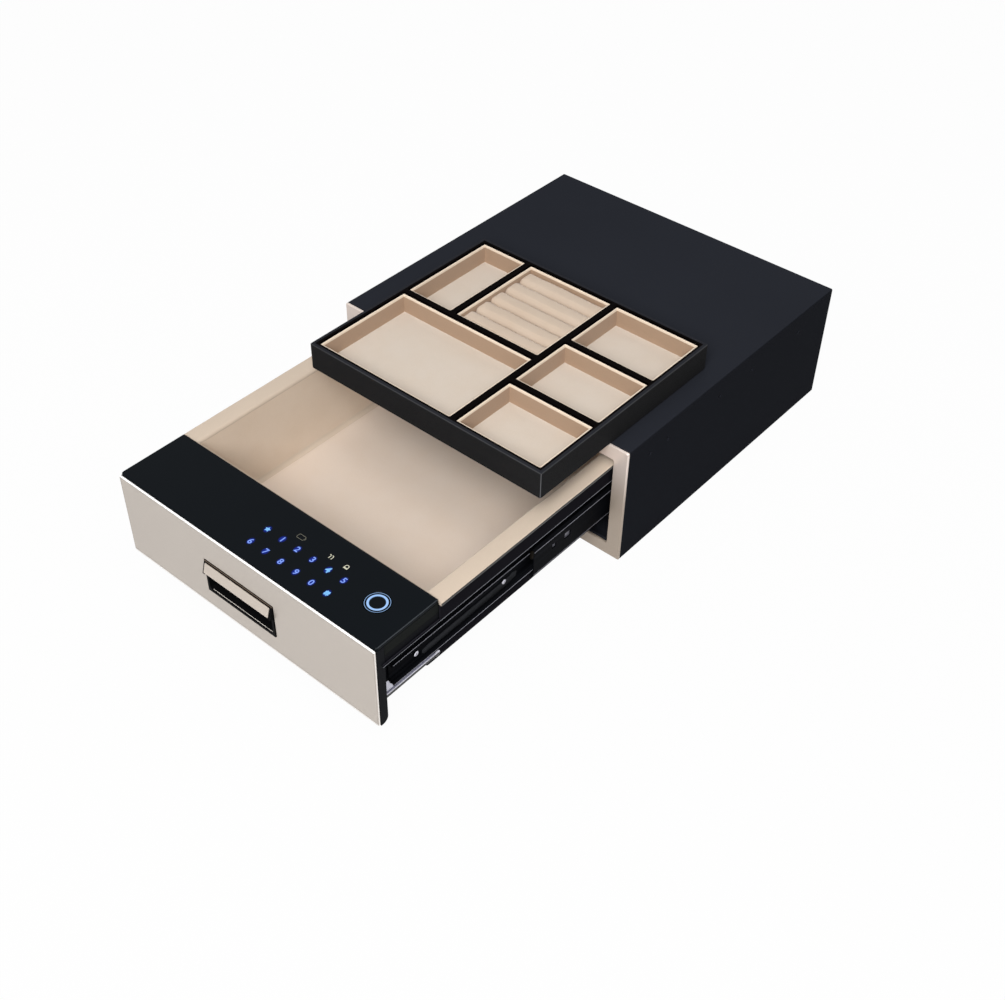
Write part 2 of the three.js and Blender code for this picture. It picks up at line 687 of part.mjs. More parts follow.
// The pull: a moulded cup whose upper edge leans out as a wedge over the fingers
function handleHousing() {
  const front = blockFront - HANDLE.proud;
  const back = front + HANDLE.depth;
  const lip = handle.top - HANDLE.flap;
  const section = polygon([
    [back, handle.bottom],
    [front, handle.bottom],
    [front, lip - HANDLE.lipRise],
    [front - HANDLE.lipOut, lip],
    [front + HANDLE.topIn, handle.top],
    [back, handle.top],
  ]);
  const wall = HANDLE.wall;
  const inLeft = handle.left + wall;
  const inRight = handle.right - wall;
  const corner = HANDLE.corner;
  const mouth = rounded(inLeft, handle.bottom + wall, inRight, lip + PAST, [corner, corner, 0, 0]);
  const grip = rectangle(inLeft, lip - HANDLE.lipRise, inRight, handle.top - wall);
  const floor = back - HANDLE.rib;
  return cut(
    alongX(section, handle.left, handle.right),
    alongY(mouth, front - HANDLE.lipOut - PAST, floor),
    alongY(grip, front + HANDLE.rib, floor),
  );
}

function handlePlate() {
  const run = HANDLE.flap;
  const lean = HANDLE.lipOut + HANDLE.topIn;
  const slope = Math.atan2(lean, run);
  const half = HANDLE_PLATE.height / 2;
  const side = HANDLE_PLATE.width / 2;
  const outline = rounded(-side, -half, side, half, HANDLE_PLATE.corner);
  const plate = alongY(outline, -HANDLE_PLATE.thick - SEAT, -SEAT, { bevel: HANDLE_PLATE.edge });
  plate.rotateX(-slope);
  const front = blockFront - HANDLE.proud - (HANDLE.lipOut - HANDLE.topIn) / 2;
  return plate.translate(HANDLE.x, front, handle.top - run / 2);
}

// Power: a holder with four cells over a door in the chassis floor
function batteryHolder() {
  const wall = HOLDER.wall;
  const bottom = holder.bottom;
  const top = bottom + HOLDER.height;
  const right = holder.left + holder.length;
  const back = holder.front + holder.width;
  const cellLength = CELL.body + CELL.nub + CELL.gap;
  const cellWidth = 2 * CELL.radius + CELL.gap;
  const tools = [];
  for (let i = 0; i < 2; i++)
    for (let j = 0; j < 2; j++) {
      const x = holder.left + wall + i * (cellLength + wall);
      const y = holder.front + wall + j * (cellWidth + wall);
      tools.push(box(x, x + cellLength, y, y + cellWidth, bottom + HOLDER.floor, top + PAST));
    }
  return cut(box(holder.left, right, holder.front, back, bottom, top), ...tools);
}

function addCells() {
  const profile = [
    [0, 0],
    [CELL.radius - CELL.edge, 0],
    [CELL.radius, CELL.edge],
    [CELL.radius, CELL.body - CELL.edge],
    [CELL.radius - CELL.edge, CELL.body],
    [CELL.nubRadius, CELL.body],
    [CELL.nubRadius, CELL.body + CELL.nub],
    [0, CELL.body + CELL.nub],
  ].map(([r, h]) => new THREE.Vector2(r, h));
  const total = CELL.body + CELL.nub;
  let number = 1;
  for (let i = 0; i < 2; i++)
    for (let j = 0; j < 2; j++) {
      const cell = new THREE.LatheGeometry(profile, 12);
      cell.translate(0, -total / 2, 0).rotateZ(j ? Math.PI / 2 : -Math.PI / 2);
      const x = holder.left + HOLDER.wall + i * (total + CELL.gap + HOLDER.wall) + (total + CELL.gap) / 2;
      const step = 2 * CELL.radius + CELL.gap;
      const y = holder.front + HOLDER.wall + step / 2 + j * (step + HOLDER.wall);
      const z = holder.bottom + HOLDER.floor + SEAT + CELL.radius;
      add(`battery_${number++}`, cell.translate(x, y, z), "cell");
    }
}

function batteryCover() {
  const middle = holder.left + holder.length / 2;
  const back = holder.front + holder.width - COVER.margin;
  const grip = rounded(
    middle - COVER.gripHalf, back - COVER.gripDepth, middle + COVER.gripHalf, back + PAST, COVER.gripCorner,
  );
  return cut(
    alongZ(coverPlan(0), chassisBottom, chassisFloor),
    alongZ(grip, chassisBottom - PAST, chassisFloor - DRAWER.sheet / 2),
  );
}

// The lock: one pinion drives two racks, which throw a bolt out of each side
const rackPitch = Math.PI * GEAR.module;

function pinionOutline() {
  const base = pitchRadius * Math.cos(flankAngle);
  const tip = pitchRadius + GEAR.module;
  const root = pitchRadius - dedendum;
  const inv = (r) => Math.sqrt((r / base) ** 2 - 1) - Math.atan(Math.sqrt((r / base) ** 2 - 1));
  const halfAtPitch = (rackPitch / 2 - GEAR.backlash) / 2 / pitchRadius;
  const flank = [base, pitchRadius, tip];
  const points = [];
  for (let tooth = 0; tooth < GEAR.teeth; tooth++) {
    const middle = (tooth / GEAR.teeth) * 2 * Math.PI - Math.PI / 2;
    const place = (r, turn) => points.push([r * Math.cos(middle + turn), r * Math.sin(middle + turn)]);
    const halfAt = (r) => halfAtPitch + inv(pitchRadius) - inv(r);
    place(root, -halfAt(base));
    flank.forEach((r) => place(r, -halfAt(r)));
    [...flank].reverse().forEach((r) => place(r, halfAt(r)));
    place(root, halfAt(base));
  }
  return polygon(points);
}

function lockPinion() {
  const wheel = alongY(pinionOutline(), boltY - GEAR.width / 2, boltY + GEAR.width / 2);
  wheel.translate(0, 0, gearZ);
  const motorFace = blockBack - BLOCK.wall - SEAT;
  return join(wheel, rodAlongY(GEAR.bore, motorFace + SEAT, caseBack - LOCK_CASE.sheet - SEAT, 0, gearZ));
}

// A rack's outline in X and Z, with its teeth up for side = 1 and down for side = -1
function rackOutline(from, to, pitchLine, side) {
  const root = pitchLine - side * dedendum;
  const tip = pitchLine + side * GEAR.rackAddendum;
  const slope = Math.tan(flankAngle);
  const halfAtPitch = rackPitch / 4 - GEAR.backlash / 2;
  const halfTip = halfAtPitch - GEAR.rackAddendum * slope;
  const halfRoot = halfAtPitch + dedendum * slope;
  const points = [
    [to, root],
    [to, root - side * RACK.body],
    [from, root - side * RACK.body],
    [from, root],
  ];
  const first = Math.ceil((from + halfRoot) / rackPitch - 0.5);
  const last = Math.floor((to - halfRoot) / rackPitch - 0.5);
  for (let tooth = first; tooth <= last; tooth++) {
    const x = (tooth + 0.5) * rackPitch;
    points.push([x - halfRoot, root], [x - halfTip, tip], [x + halfTip, tip], [x + halfRoot, root]);
  }
  return side > 0 ? polygon([...points].reverse()) : polygon(points);
}

function boltRod(sign, from) {
  const tip = sign * (tubHalf - BOLT.tipIn);
  const outline = circle(boltY, boltZ, BOLT.radius, 20);
  return alongX(outline, Math.min(from, tip), Math.max(from, tip), { bevel: BOLT.nose });
}

function lockBoltRight() {
  const run = BOLT.throw + RACK.spare;
  const bar = alongY(
    rackOutline(-run, RACK.spare + RACK.ahead, rackLine, 1),
    boltY - GEAR.width / 2, boltY + GEAR.width / 2,
  );
  return join(bar, boltRod(1, RACK.spare));
}

function lockBoltLeft() {
  const run = BOLT.throw + RACK.spare;
  const armRight = -run - RACK.arm;
  const front = boltY - GEAR.width / 2;
  const back = boltY + GEAR.width / 2;
  const top = upperRackLine + dedendum + RACK.body;
  const teeth = alongY(rackOutline(-RACK.spare, run, upperRackLine, -1), front, back);
  const bar = box(armRight - RACK.arm, -RACK.spare + PAST, front, back, top - RACK.body, top);
  const arm = box(armRight - RACK.arm, armRight, front, back, boltZ - BOLT.radius, top);
  return join(teeth, bar, arm, boltRod(-1, armRight - PAST));
}

function lockCase() {
  const sheet = LOCK_CASE.sheet;
  const front = tub.front + DRAWER.sheet + SEAT;
  const inside = caseHalf - sheet;
  return cut(
    box(-caseHalf, caseHalf, front, caseBack, caseBottom, caseTop),
    box(-inside, inside, front - PAST, caseBack - sheet, caseBottom + sheet, caseTop - sheet),
    rodAlongX(BOLT.radius + BOLT.play, -caseHalf - PAST, caseHalf + PAST, boltY, boltZ),
  );
}

function lockMotor() {
  const back = blockBack - BLOCK.wall - SEAT;
  const front = back - MOTOR.length;
  const half = MOTOR.footWidth / 2;
  const inset = MOTOR.footInset;
  const body = join(
    rodAlongY(MOTOR.radius, front, back, 0, gearZ, 24),
    rodAlongY(MOTOR.boss, back - PAST, back + MOTOR.bossLength, 0, gearZ),
    box(-half, half, front + inset, back - inset, chassisFloor + SEAT, gearZ - MOTOR.radius / 2),
  );
  return cut(body, rodAlongY(GEAR.bore + SEAT, back - PAST, back + MOTOR.bossLength + PAST, 0, gearZ));
}

// The divided tray, which lifts out
const tray = new THREE.Group();
tray.position.set(TRAY.left, TRAY.front, CABINET.height + SEAT);
part.add(tray);

const trayCells = (() => {
  const near = TRAY.wall;
  const leftEnd = near + TRAY_CELLS.leftWidth;
  const rightStart = leftEnd + TRAY.divider;
  const rightEnd = TRAY.width - TRAY.wall;
  const farEnd = TRAY.depth - TRAY.wall;
  const rearStart = near + TRAY_CELLS.frontDepth + TRAY.divider;
  const smallEnd = near + TRAY_CELLS.smallWidth;
  const third = (farEnd - near - 2 * TRAY.divider) / 3;
  const rightCell = (i) => {
    const y = near + i * (third + TRAY.divider);
    return [rightStart, y, rightEnd, y + third];
  };
  return {
    large: [near, near, leftEnd, near + TRAY_CELLS.frontDepth],
    small: [near, rearStart, smallEnd, farEnd],
    rings: [smallEnd + TRAY.divider, rearStart, leftEnd, farEnd],
    right_front: rightCell(0),
    right_middle: rightCell(1),
    right_rear: rightCell(2),
  };
})();

function shrunk([x0, y0, x1, y1], by, corner) {
  return rounded(x0 + by, y0 + by, x1 - by, y1 - by, corner);
}

function trayShell() {
  const outline = rounded(0, 0, TRAY.width, TRAY.depth, TRAY.corner);
  const pockets = Object.values(trayCells).map((cell) =>
    alongZ(shrunk(cell, 0, LINING.corner + SEAT), TRAY.floor, TRAY.height + PAST),
  );
  return cut(alongZ(outline, 0, TRAY.height, { bevel: TRAY.edge }), ...pockets);
}

function trayLining(cell) {
  const low = TRAY.floor + SEAT;
  const high = TRAY.height - LINING.below;
  const inner = SEAT + LINING.wall;
  const outline = shrunk(cell, SEAT, LINING.corner);
  outline.holes.push(shrunk(cell, inner, LINING.corner / 2));
  const edge = { bevel: LINING.lip };
  const floor = shrunk(cell, SEAT, LINING.corner);
  return join(alongZ(outline, low, high, edge), alongZ(floor, low, low + LINING.floor, edge));
}

// A ring roll: a padded bar with a round crown
function ringRoll(y, width, x0, x1) {
  const low = TRAY.floor + 2 * SEAT + LINING.floor;
  const side = low + ROLL.height - ROLL.crown;
  const half = width / 2;
  const outline = new THREE.Shape();
  outline.moveTo(y - half + ROLL.footIn, low);
  outline.lineTo(y + half - ROLL.footIn, low);
  outline.lineTo(y + half, low + ROLL.footRise);
  outline.lineTo(y + half, side);
  outline.absellipse(y, side, half, ROLL.crown, 0, Math.PI);
  outline.lineTo(y - half, low + ROLL.footRise);
  outline.closePath();
  return alongX(outline, x0, x1, { bevel: ROLL.end, curve: 5 });
}

function addTray() {
  add("tray_shell", trayShell(), "hide", tray);
  for (const [name, cell] of Object.entries(trayCells))
    add(`tray_lining_${name}`, trayLining(cell), "lining", tray);
  const [x0, y0, x1, y1] = trayCells.rings;
  const inner = SEAT + LINING.wall + SEAT;
  const room = y1 - y0 - 2 * inner;
  const width = (room - (ROLL.count - 1) * ROLL.gap) / ROLL.count;
  for (let i = 0; i < ROLL.count; i++) {
    const y = y0 + inner + width / 2 + i * (width + ROLL.gap);
    add(`ring_roll_${i + 1}`, ringRoll(y, width, x0 + inner, x1 - inner), "lining", tray);
  }
}

// Assembly
add("cabinet_shell", cabinetShell(), "cabinetBlack");
add("front_frame", frontFrame(), "champagne");
add("back_panel", backPanel(), "cabinetBlack");
addSlides();
add("drawer_body", drawerBody(), "cabinetBlack");
add("drawer_liner", drawerLiner(), "lining");
add("drawer_floor_pad", drawerFloorPad(), "lining");
add("front_face", frontFace(), "champagne");
add("front_plate", frontPlate(), "mouldedBlack");
add("block_housing", blockHousing(), "mouldedBlack");
add("block_chassis", blockChassis(), "zinc");
add("touch_panel", touchPanel(), "glass");
addSensor();
add("control_board", controlBoard(), "board");
add("handle_housing", handleHousing(), "mouldedBlack");
add("handle_plate", handlePlate(), "champagne");
add("battery_holder", batteryHolder(), "mouldedBlack");
addCells();
add("battery_cover", batteryCover(), "mouldedBlack");
add("lock_case", lockCase(), "zinc");
add("lock_motor", lockMotor(), "zinc");
add("lock_pinion", lockPinion(), "bearing");
add("lock_bolt_right", lockBoltRight(), "bearing");
add("lock_bolt_left", lockBoltLeft(), "bearing");
addTray();

export default part;
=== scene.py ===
import math

import bmesh
import bpy
from mathutils import Matrix, Vector, noise


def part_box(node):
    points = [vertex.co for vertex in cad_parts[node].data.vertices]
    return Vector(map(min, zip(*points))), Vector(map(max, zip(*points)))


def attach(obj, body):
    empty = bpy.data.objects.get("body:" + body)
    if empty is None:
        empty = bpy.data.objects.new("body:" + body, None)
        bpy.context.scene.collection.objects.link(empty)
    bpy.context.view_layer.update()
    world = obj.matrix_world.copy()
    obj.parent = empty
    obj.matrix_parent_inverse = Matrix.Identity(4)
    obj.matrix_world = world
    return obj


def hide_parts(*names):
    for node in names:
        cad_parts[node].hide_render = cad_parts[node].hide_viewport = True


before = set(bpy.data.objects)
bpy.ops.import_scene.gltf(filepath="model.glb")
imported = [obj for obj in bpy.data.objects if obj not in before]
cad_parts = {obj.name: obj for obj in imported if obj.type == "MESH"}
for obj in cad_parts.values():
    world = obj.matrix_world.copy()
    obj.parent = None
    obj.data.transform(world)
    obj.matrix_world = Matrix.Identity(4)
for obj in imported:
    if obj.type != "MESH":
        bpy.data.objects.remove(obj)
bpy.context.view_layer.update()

MM = 0.001
SIDES = ("right", "left")


def both(name):
    """A node's names on the two sides."""
    return [f"{name}_{side}" for side in SIDES]


def box_mm(node):
    """A node's lowest and highest corner, in millimetres."""
    low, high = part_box(node)
    return Vector(low) / MM, Vector(high) / MM


# Sizes that finishes and pieces share, in millimetres

SEAT = 0.3          # gap between pieces that touch
LIP_DROP = 17.4     # from the tub's rim down to the lower edge of its side lip

# Each row's signs and its place along Y, and the signs' places along X
KEYS = {
    "rear": ("*12345", -432.6), "front": ("67890#", -451.5),
    "x": [-6.2, 12.2, 30.1, 48.3, 66.2, 84.4], "height": 6.1, "thick": 0.04, "bold": 0.14,
    "glow": (2.7, 3.7),
}

# Radii of the reader's lit band and line
READER = {"band": (7.1, 8.7), "line": (10.5, 10.75)}

# The zinc strip round each bolt's end
STRIP = {
    "front": -459.6, "low": 26.8, "high": 33.5, "thick": 0.5, "play": 0.2, "tip": 3.4,
    # Above this height the strip has painted shade
    "shade_above": 31.5,
}

# Where each rail has a painted highlight on its rolled edges: between these heights, and this far out from
# the middle
RAIL_HIGHLIGHTS = {
    "outer": {"heights": [(34.5, 35.2), (78.8, 79.5)], "out": 157.4},
    "middle": {"heights": [(42.9, 44.0), (70.2, 70.9)], "out": 152.6},
    "inner": {"heights": [(44.8, 46.1), (68.65, 69.1)], "out": 150.2},
}

liner_low, liner_high = box_mm("drawer_liner")
tray_corner, tray_far = box_mm("tray_shell")


# Shader and geometry nodes

class Wire:
    """A node's output. Arithmetic on it adds Math nodes to the same tree."""

    def __init__(self, tree, socket):
        self.tree = tree
        self.socket = socket

    def __add__(self, other):
        return self.tree.math("ADD", self, other)

    def __sub__(self, other):
        return self.tree.math("SUBTRACT", self, other)

    def __rsub__(self, other):
        return self.tree.math("SUBTRACT", other, self)

    def __mul__(self, other):
        return self.tree.math("MULTIPLY", self, other)

    def __truediv__(self, other):
        return self.tree.math("DIVIDE", self, other)

    def __abs__(self):
        return self.tree.math("ABSOLUTE", self)

    def between(self, low, high, soft=0.15):
        """1 between two values, falling to 0 over a short way outside them."""
        return self.step(low - soft, low) * self.step(high + soft, high)

    def step(self, low, high):
        """0 below low, 1 above high, smooth between; falls instead where low is above high."""
        settings = {"interpolation_type": "SMOOTHSTEP"}
        values = {"Value": self, "From Min": low, "From Max": high}
        return self.tree.node("ShaderNodeMapRange", settings, values)

    __radd__ = __add__
    __rmul__ = __mul__


class Tree:
    """A node tree. Its node method adds any node, with its settings and its sockets' values."""

    def __init__(self, tree):
        self.tree = tree

    def node(self, kind, settings=None, inputs=None, output=0):
        made = self.tree.nodes.new(kind)
        for name, value in (settings or {}).items():
            setattr(made, name, value)
        for name, value in (inputs or {}).items():
            self.feed(made.inputs[name], value)
        return Wire(self, made.outputs[output])

    def math(self, operation, *values):
        return self.node("ShaderNodeMath", {"operation": operation}, dict(enumerate(values)))

    def feed(self, socket, value):
        """Gives a socket a number, a colour as written on a screen, a link or several links."""
        if isinstance(value, list):
            for part in value:
                self.feed(socket, part)
        elif isinstance(value, Wire):
            self.tree.links.new(value.socket, socket)
        elif isinstance(value, str):
            socket.default_value = linear(value)[:len(socket.default_value)]
        else:
            socket.default_value = value


def linear(code):
    """A colour written as on a screen, as the renderer's linear numbers."""
    parts = [int(code[i:i + 2], 16) / 255 for i in (1, 3, 5)]
    return (*[p / 12.92 if p <= 0.04045 else ((p + 0.055) / 1.055) ** 2.4 for p in parts], 1.0)


class Finish(Tree):
    """A material: a base colour, its fixed numbers, and what varies over the surface."""

    def __init__(self, name, colour, roughness, **fixed):
        self.material = bpy.data.materials.new(name)
        self.material.use_nodes = True
        super().__init__(self.material.node_tree)
        self.shader = self.tree.nodes["Principled BSDF"]
        self.colour = colour
        self.paint(colour)
        self.rough(roughness)
        for socket, value in fixed.items():
            self.set(socket.replace("_", " ").title().replace("Ior", "IOR"), value)
        self.here = self.node("ShaderNodeTexCoord", output="Object")
        self.material.diffuse_color = linear(colour)

    def set(self, socket, value):
        self.feed(self.shader.inputs[socket], value)

    def paint(self, colour, tone=None):
        """Sets the base colour, times a tone if there is one."""
        self.set("Base Color", self.shaded(colour, tone) if tone else colour)

    def rough(self, value):
        self.set("Roughness", value)

    def stretched(self, x, y, z):
        return self.node("ShaderNodeMapping", inputs={"Vector": self.here, "Scale": (x, y, z)})

    def noise(self, scale, detail=2.0, vector=None, roughness=0.5):
        values = {"Vector": vector or self.here, "Scale": scale, "Detail": detail}
        return self.node("ShaderNodeTexNoise", None, {**values, "Roughness": roughness}, "Fac")

    def cells(self, scale, vector=None, output="Distance", feature="F1"):
        values = {"Vector": vector or self.here, "Scale": scale}
        return self.node("ShaderNodeTexVoronoi", {"feature": feature}, values, output)

    def split(self, vector):
        """A vector's three numbers."""
        outputs = self.node("ShaderNodeSeparateXYZ", inputs={0: vector}).socket.node.outputs
        return [Wire(self, outputs[i]) for i in range(3)]

    def axes(self):
        """The place on the piece as three numbers, in millimetres."""
        return self.split(self.shaded(self.here, 1 / MM))

    def facing(self, axis):
        """How far the surface faces along an axis of the piece."""
        return self.split(self.node("ShaderNodeTexCoord", output="Normal"))[axis]

    def mixed(self, factor, first, second):
        """The first colour where the factor is 0, the second where it is 1."""
        values = {0: factor, 6: first, 7: second}
        return self.node("ShaderNodeMix", {"data_type": "RGBA"}, values, 2)

    def shaded(self, colour, factor):
        """A colour or a vector times a factor."""
        return self.node("ShaderNodeVectorMath", {"operation": "SCALE"}, {0: colour, "Scale": factor})

    def bump(self, height, distance):
        self.set("Normal", self.node("ShaderNodeBump", None, {"Height": height, "Distance": distance}))


# Finishes

def powder_coat(name="powder_coat", colour="#25272D"):
    """The fine matt powder coat, bluish black, with painted shade on the sides."""
    f = Finish(name, colour, 0.55, specular_ior_level=0.002)
    peel = f.noise(520, 3)
    grit = f.noise(2300, 1)
    cloud = f.noise(7, 3)
    # Painted shade: the faces that look along X are made darker
    f.side = 1 - 0.42 * abs(f.facing(0)).step(0.3, 0.9)
    f.paint(f.colour, (0.86 + 0.18 * cloud + 0.12 * grit) * f.side)
    f.rough(0.4 + 0.1 * grit + 0.08 * cloud)
    f.bump(peel * 0.7 + grit * 0.5, 0.00008)
    return f


def champagne(name, colour, metallic):
    """Satin anodised sheet: a very fine grain, drawn a little along X."""
    f = Finish(name, colour, 0.36, metallic=metallic)
    grain = f.noise(2600, 2)
    drawn = f.noise(900, 2, f.stretched(0.05, 1, 1))
    cloud = f.noise(11, 2)
    f.tone = 0.91 + 0.08 * grain + 0.04 * drawn + 0.06 * cloud
    f.paint(f.colour, f.tone)
    f.rough(0.3 + 0.12 * grain + 0.05 * cloud)
    f.bump(grain + drawn * 0.6, 0.00004)
    return f


def face_plate():
    """The drawer's face: painted highlights on its polish-bright edges, a painted shadow line, a fine
    border line.
    """
    f = champagne("champagne_face", "#B8AFA6", 0.4)
    low, high = box_mm("front_face")
    x, _, z = f.axes()
    inside = f.math("MINIMUM", x - low.x, high.x - x)
    above = z - low.z
    lines = inside.between(1.3, 1.6, 0.25) + above.between(3.1, 3.6, 0.3) + above.step(0.7, 0.3)
    # Painted shadow: a darker line under the top edge
    under = z.between(high.z - 2.7, high.z - 2.2, 0.3)
    # Painted highlight: near white along the top edge
    top_highlight = z.step(high.z - 1.6, high.z - 1.3)
    # Painted highlights: lighter along the side edges and in a band low on the face
    rim = inside.step(0.75, 0.45) + above.between(1.0, 2.3, 0.3)
    body = f.shaded(f.colour, f.tone * (1 - 0.24 * lines) * (1 - 0.14 * under))
    body = f.mixed(rim * 0.7, body, "#EFEAE6")
    f.paint(f.mixed(top_highlight, body, "#FDFCFB"))
    return f


def frame_sheet():
    """The front frame: paler towards its top as painted light, and darker on the left as painted shade."""
    f = champagne("champagne_frame", "#A39587", 0.35)
    x, _, z = f.axes()
    # Painted light: the colour runs paler towards the top
    height = (z / box_mm("front_frame")[1].z).step(0.45, 0.95)
    body = f.mixed(height, f.colour, "#DFD1C8")
    # Painted shade: a little darker on the left
    f.paint(body, f.tone * (1 - 0.16 * x.step(0, -100)))
    return f


def rail_coat(part):
    """A slide rail's black coat: paler along the travel from rubbing, with painted highlights on the
    rolled edges.
    """
    f = Finish(f"rail_coat_{part}", "#0C0D10", 0.4, specular_ior_level=0.006)
    rubbed_and_highlit = f.noise(260, 3, f.stretched(1, 0.02, 1)).step(0.55, 0.75)
    grit = f.noise(1500, 2)
    x, y, z = f.axes()
    front = box_mm(f"slide_{part}_right")[0].y
    out = RAIL_HIGHLIGHTS[part]["out"]
    # Painted highlights: light lines along the rolled edges, back from the front end
    edges = sum(z.between(low, high, 0.1) for low, high in RAIL_HIGHLIGHTS[part]["heights"])
    wear_and_highlight = abs(x).step(out - 0.2, out) * edges
    wear_and_highlight = wear_and_highlight * y.step(front + 0.2, front + 0.5) * (0.6 + 0.5 * f.noise(90, 2))
    body = f.mixed(rubbed_and_highlit * 0.14, f.colour, "#3A3B42")
    f.paint(f.mixed(wear_and_highlight, body, "#84848C"))
    f.rough(0.3 + 0.16 * grit + 0.1 * rubbed_and_highlit)
    f.bump(grit, 0.00003)
    return f


def tub_coat():
    """The drawer's powder coat, with a painted highlight along the lip's cut edge."""
    f = powder_coat("tub_coat", "#232228")
    high = box_mm("drawer_body")[1]
    low = high.z - LIP_DROP
    x, _, z = f.axes()
    # Painted highlight: a light line along the lip's lower edge, on its outer face
    edge = z.between(low - 0.5, low + 0.7) * abs(x).step(high.x - 0.6, high.x - 0.3)
    lip_highlight = edge * (0.7 + 0.4 * f.noise(120, 2))
    # Painted shade on the sides, as in the powder coat, with a fine mottle
    body = f.shaded(f.colour, (0.7 + 0.3 * f.noise(900)) * f.side)
    f.paint(f.mixed(lip_highlight, body, "#8A8C93"))
    return f


def bright_steel():
    """Drawn steel of the lock's bolts and pinion, and of the back's screws."""
    f = Finish("bright_steel", "#B9BBC0", 0.25, metallic=1.0)
    drawn = f.noise(1400, 2, f.stretched(1, 0.08, 1))
    stain = f.noise(60, 3)
    f.paint(f.colour, 0.86 + 0.12 * drawn + 0.08 * stain)
    f.rough(0.18 + 0.12 * drawn + 0.08 * stain)
    f.bump(drawn, 0.00002)
    return f


def zinc_plate(name="zinc_plate", colour="#CBCBD8", metallic=0.55, shade_above=None):
    """Mottled zinc plate, black along the block's lower edge, with painted shade above a height if given.
    """
    f = Finish(name, colour, 0.34, metallic=metallic)
    flake = f.cells(170, output="Color")
    grey = f.node("ShaderNodeRGBToBW", inputs={0: flake})
    scratch = f.noise(700, 3, f.stretched(0.1, 1, 1)).step(0.62, 0.8)
    painted = box_mm("block_chassis")[0].z + 3.2
    z = f.axes()[2]
    body = f.shaded(f.colour, 0.9 + 0.12 * grey - 0.08 * scratch)
    if shade_above:
        # Painted shade: darker above the given height
        body = f.mixed(z.step(shade_above - 0.2, shade_above + 0.2), body, "#6A6A80")
    f.paint(f.mixed(z.step(painted + 0.1, painted - 0.1), body, "#0B0B0D"))
    f.rough(0.28 + 0.12 * grey + 0.1 * scratch)
    f.bump(grey * 0.4 + scratch * 0.3, 0.00003)
    return f


def suede(name, colour, shade, wall=None, bead=None, bound=None, foot=None):
    """The linings' soft nap: fine fibres, and patches where the pile lies another way.

    The upright faces may take a darker colour, as painted shade, and the bead above a height a colour
    of its own, as painted light. The outer edge of a bound node is black, and the foot has painted
    shade below a height where it faces up.
    """
    f = Finish(name, colour, 0.92, sheen_weight=0.2, sheen_roughness=0.5)
    fibre = f.noise(2700, 3, roughness=0.7)
    tuft = f.noise(850, 3)
    pile = f.noise(26, 4, roughness=0.6)
    tone = 0.88 + 0.1 * fibre + 0.06 * tuft + 0.06 * pile
    body = f.mixed(pile.step(0.3, 0.75) * 0.5, f.colour, shade)
    # Painted shade on the upright faces
    if wall:
        body = f.mixed(abs(f.facing(2)).step(0.75, 0.3), body, wall)
    # Painted light on the bead: a colour of its own above a height
    if bead:
        colour, height = bead
        body = f.mixed(f.axes()[2].step(height - 0.3, height + 0.2), body, colour)
    if bound:
        high = box_mm(bound)[1]
        x, y, z = f.axes()
        edge = f.math("MAXIMUM", abs(x) - high.x, y - high.y).step(-0.9, -0.6)
        body = f.mixed(edge * z.step(high.z - 0.7, high.z - 1.0), body, "#15120F")
    # Painted shade on the foot, where it faces up
    if foot:
        tone = tone * (1 - 0.17 * f.axes()[2].step(foot, foot - 1) * f.facing(2).step(0.1, 0.5))
    f.paint(body, tone)
    f.rough(0.84 + 0.12 * fibre)
    f.bump(fibre * 0.6 + tuft * 0.7 + pile * 0.3, 0.00022)
    return f


def moulded(name="moulded_plastic", colour="#131417"):
    """Black moulded plastic with a fine spark texture."""
    f = Finish(name, colour, 0.52, specular_ior_level=0.02)
    spark = f.noise(1900, 3)
    flow = f.noise(35, 2)
    f.tone = 0.85 + 0.2 * spark + 0.1 * flow
    f.paint(f.colour, f.tone)
    f.rough(0.42 + 0.16 * spark)
    f.bump(spark, 0.00006)
    return f


def housing_plastic():
    """The block's housing: a parting line round its sides, darker below it."""
    f = moulded("housing_plastic", "#131415")
    z = f.axes()[2]
    line = box_mm("block_housing")[1].z - 10.6
    low, high = line - 0.2, line + 0.2
    body = f.shaded(f.mixed(z.step(low, high), "#0A0B0F", "#141615"), f.tone)
    f.paint(f.mixed(z.between(low, high, 0.3), body, "#050506"))
    return f


def handle_plastic():
    """The pull's cup: dark, with light caught on the opening's lower edge and the top border."""
    f = moulded("handle_plastic", "#0D0D0E")
    low, high = box_mm("handle_housing")
    face = box_mm("front_face")[0].y
    _, y, z = f.axes()
    inner = z.between(low.z + 2.2, low.z + 2.6, 0.1) * y.between(face + 0.7, face + 1.2, 0.1)
    top = z.between(high.z - 1.0, high.z - 0.4, 0.2) * y.step(face + 0.3, face)
    body = f.mixed(top * 0.8, f.shaded(f.colour, f.tone), "#6E5F52")
    f.paint(f.mixed(inner, body, "#C9C3BA"))
    return f


def rubber():
    """Brown moulded rubber of the slides' buffers."""
    f = Finish("buffer_rubber", "#16130F", 0.7, specular_ior_level=0.03)
    bloom = f.noise(400, 3)
    f.paint(f.colour, 0.8 + 0.4 * bloom)
    f.rough(0.6 + 0.2 * bloom)
    f.bump(bloom, 0.00008)
    return f


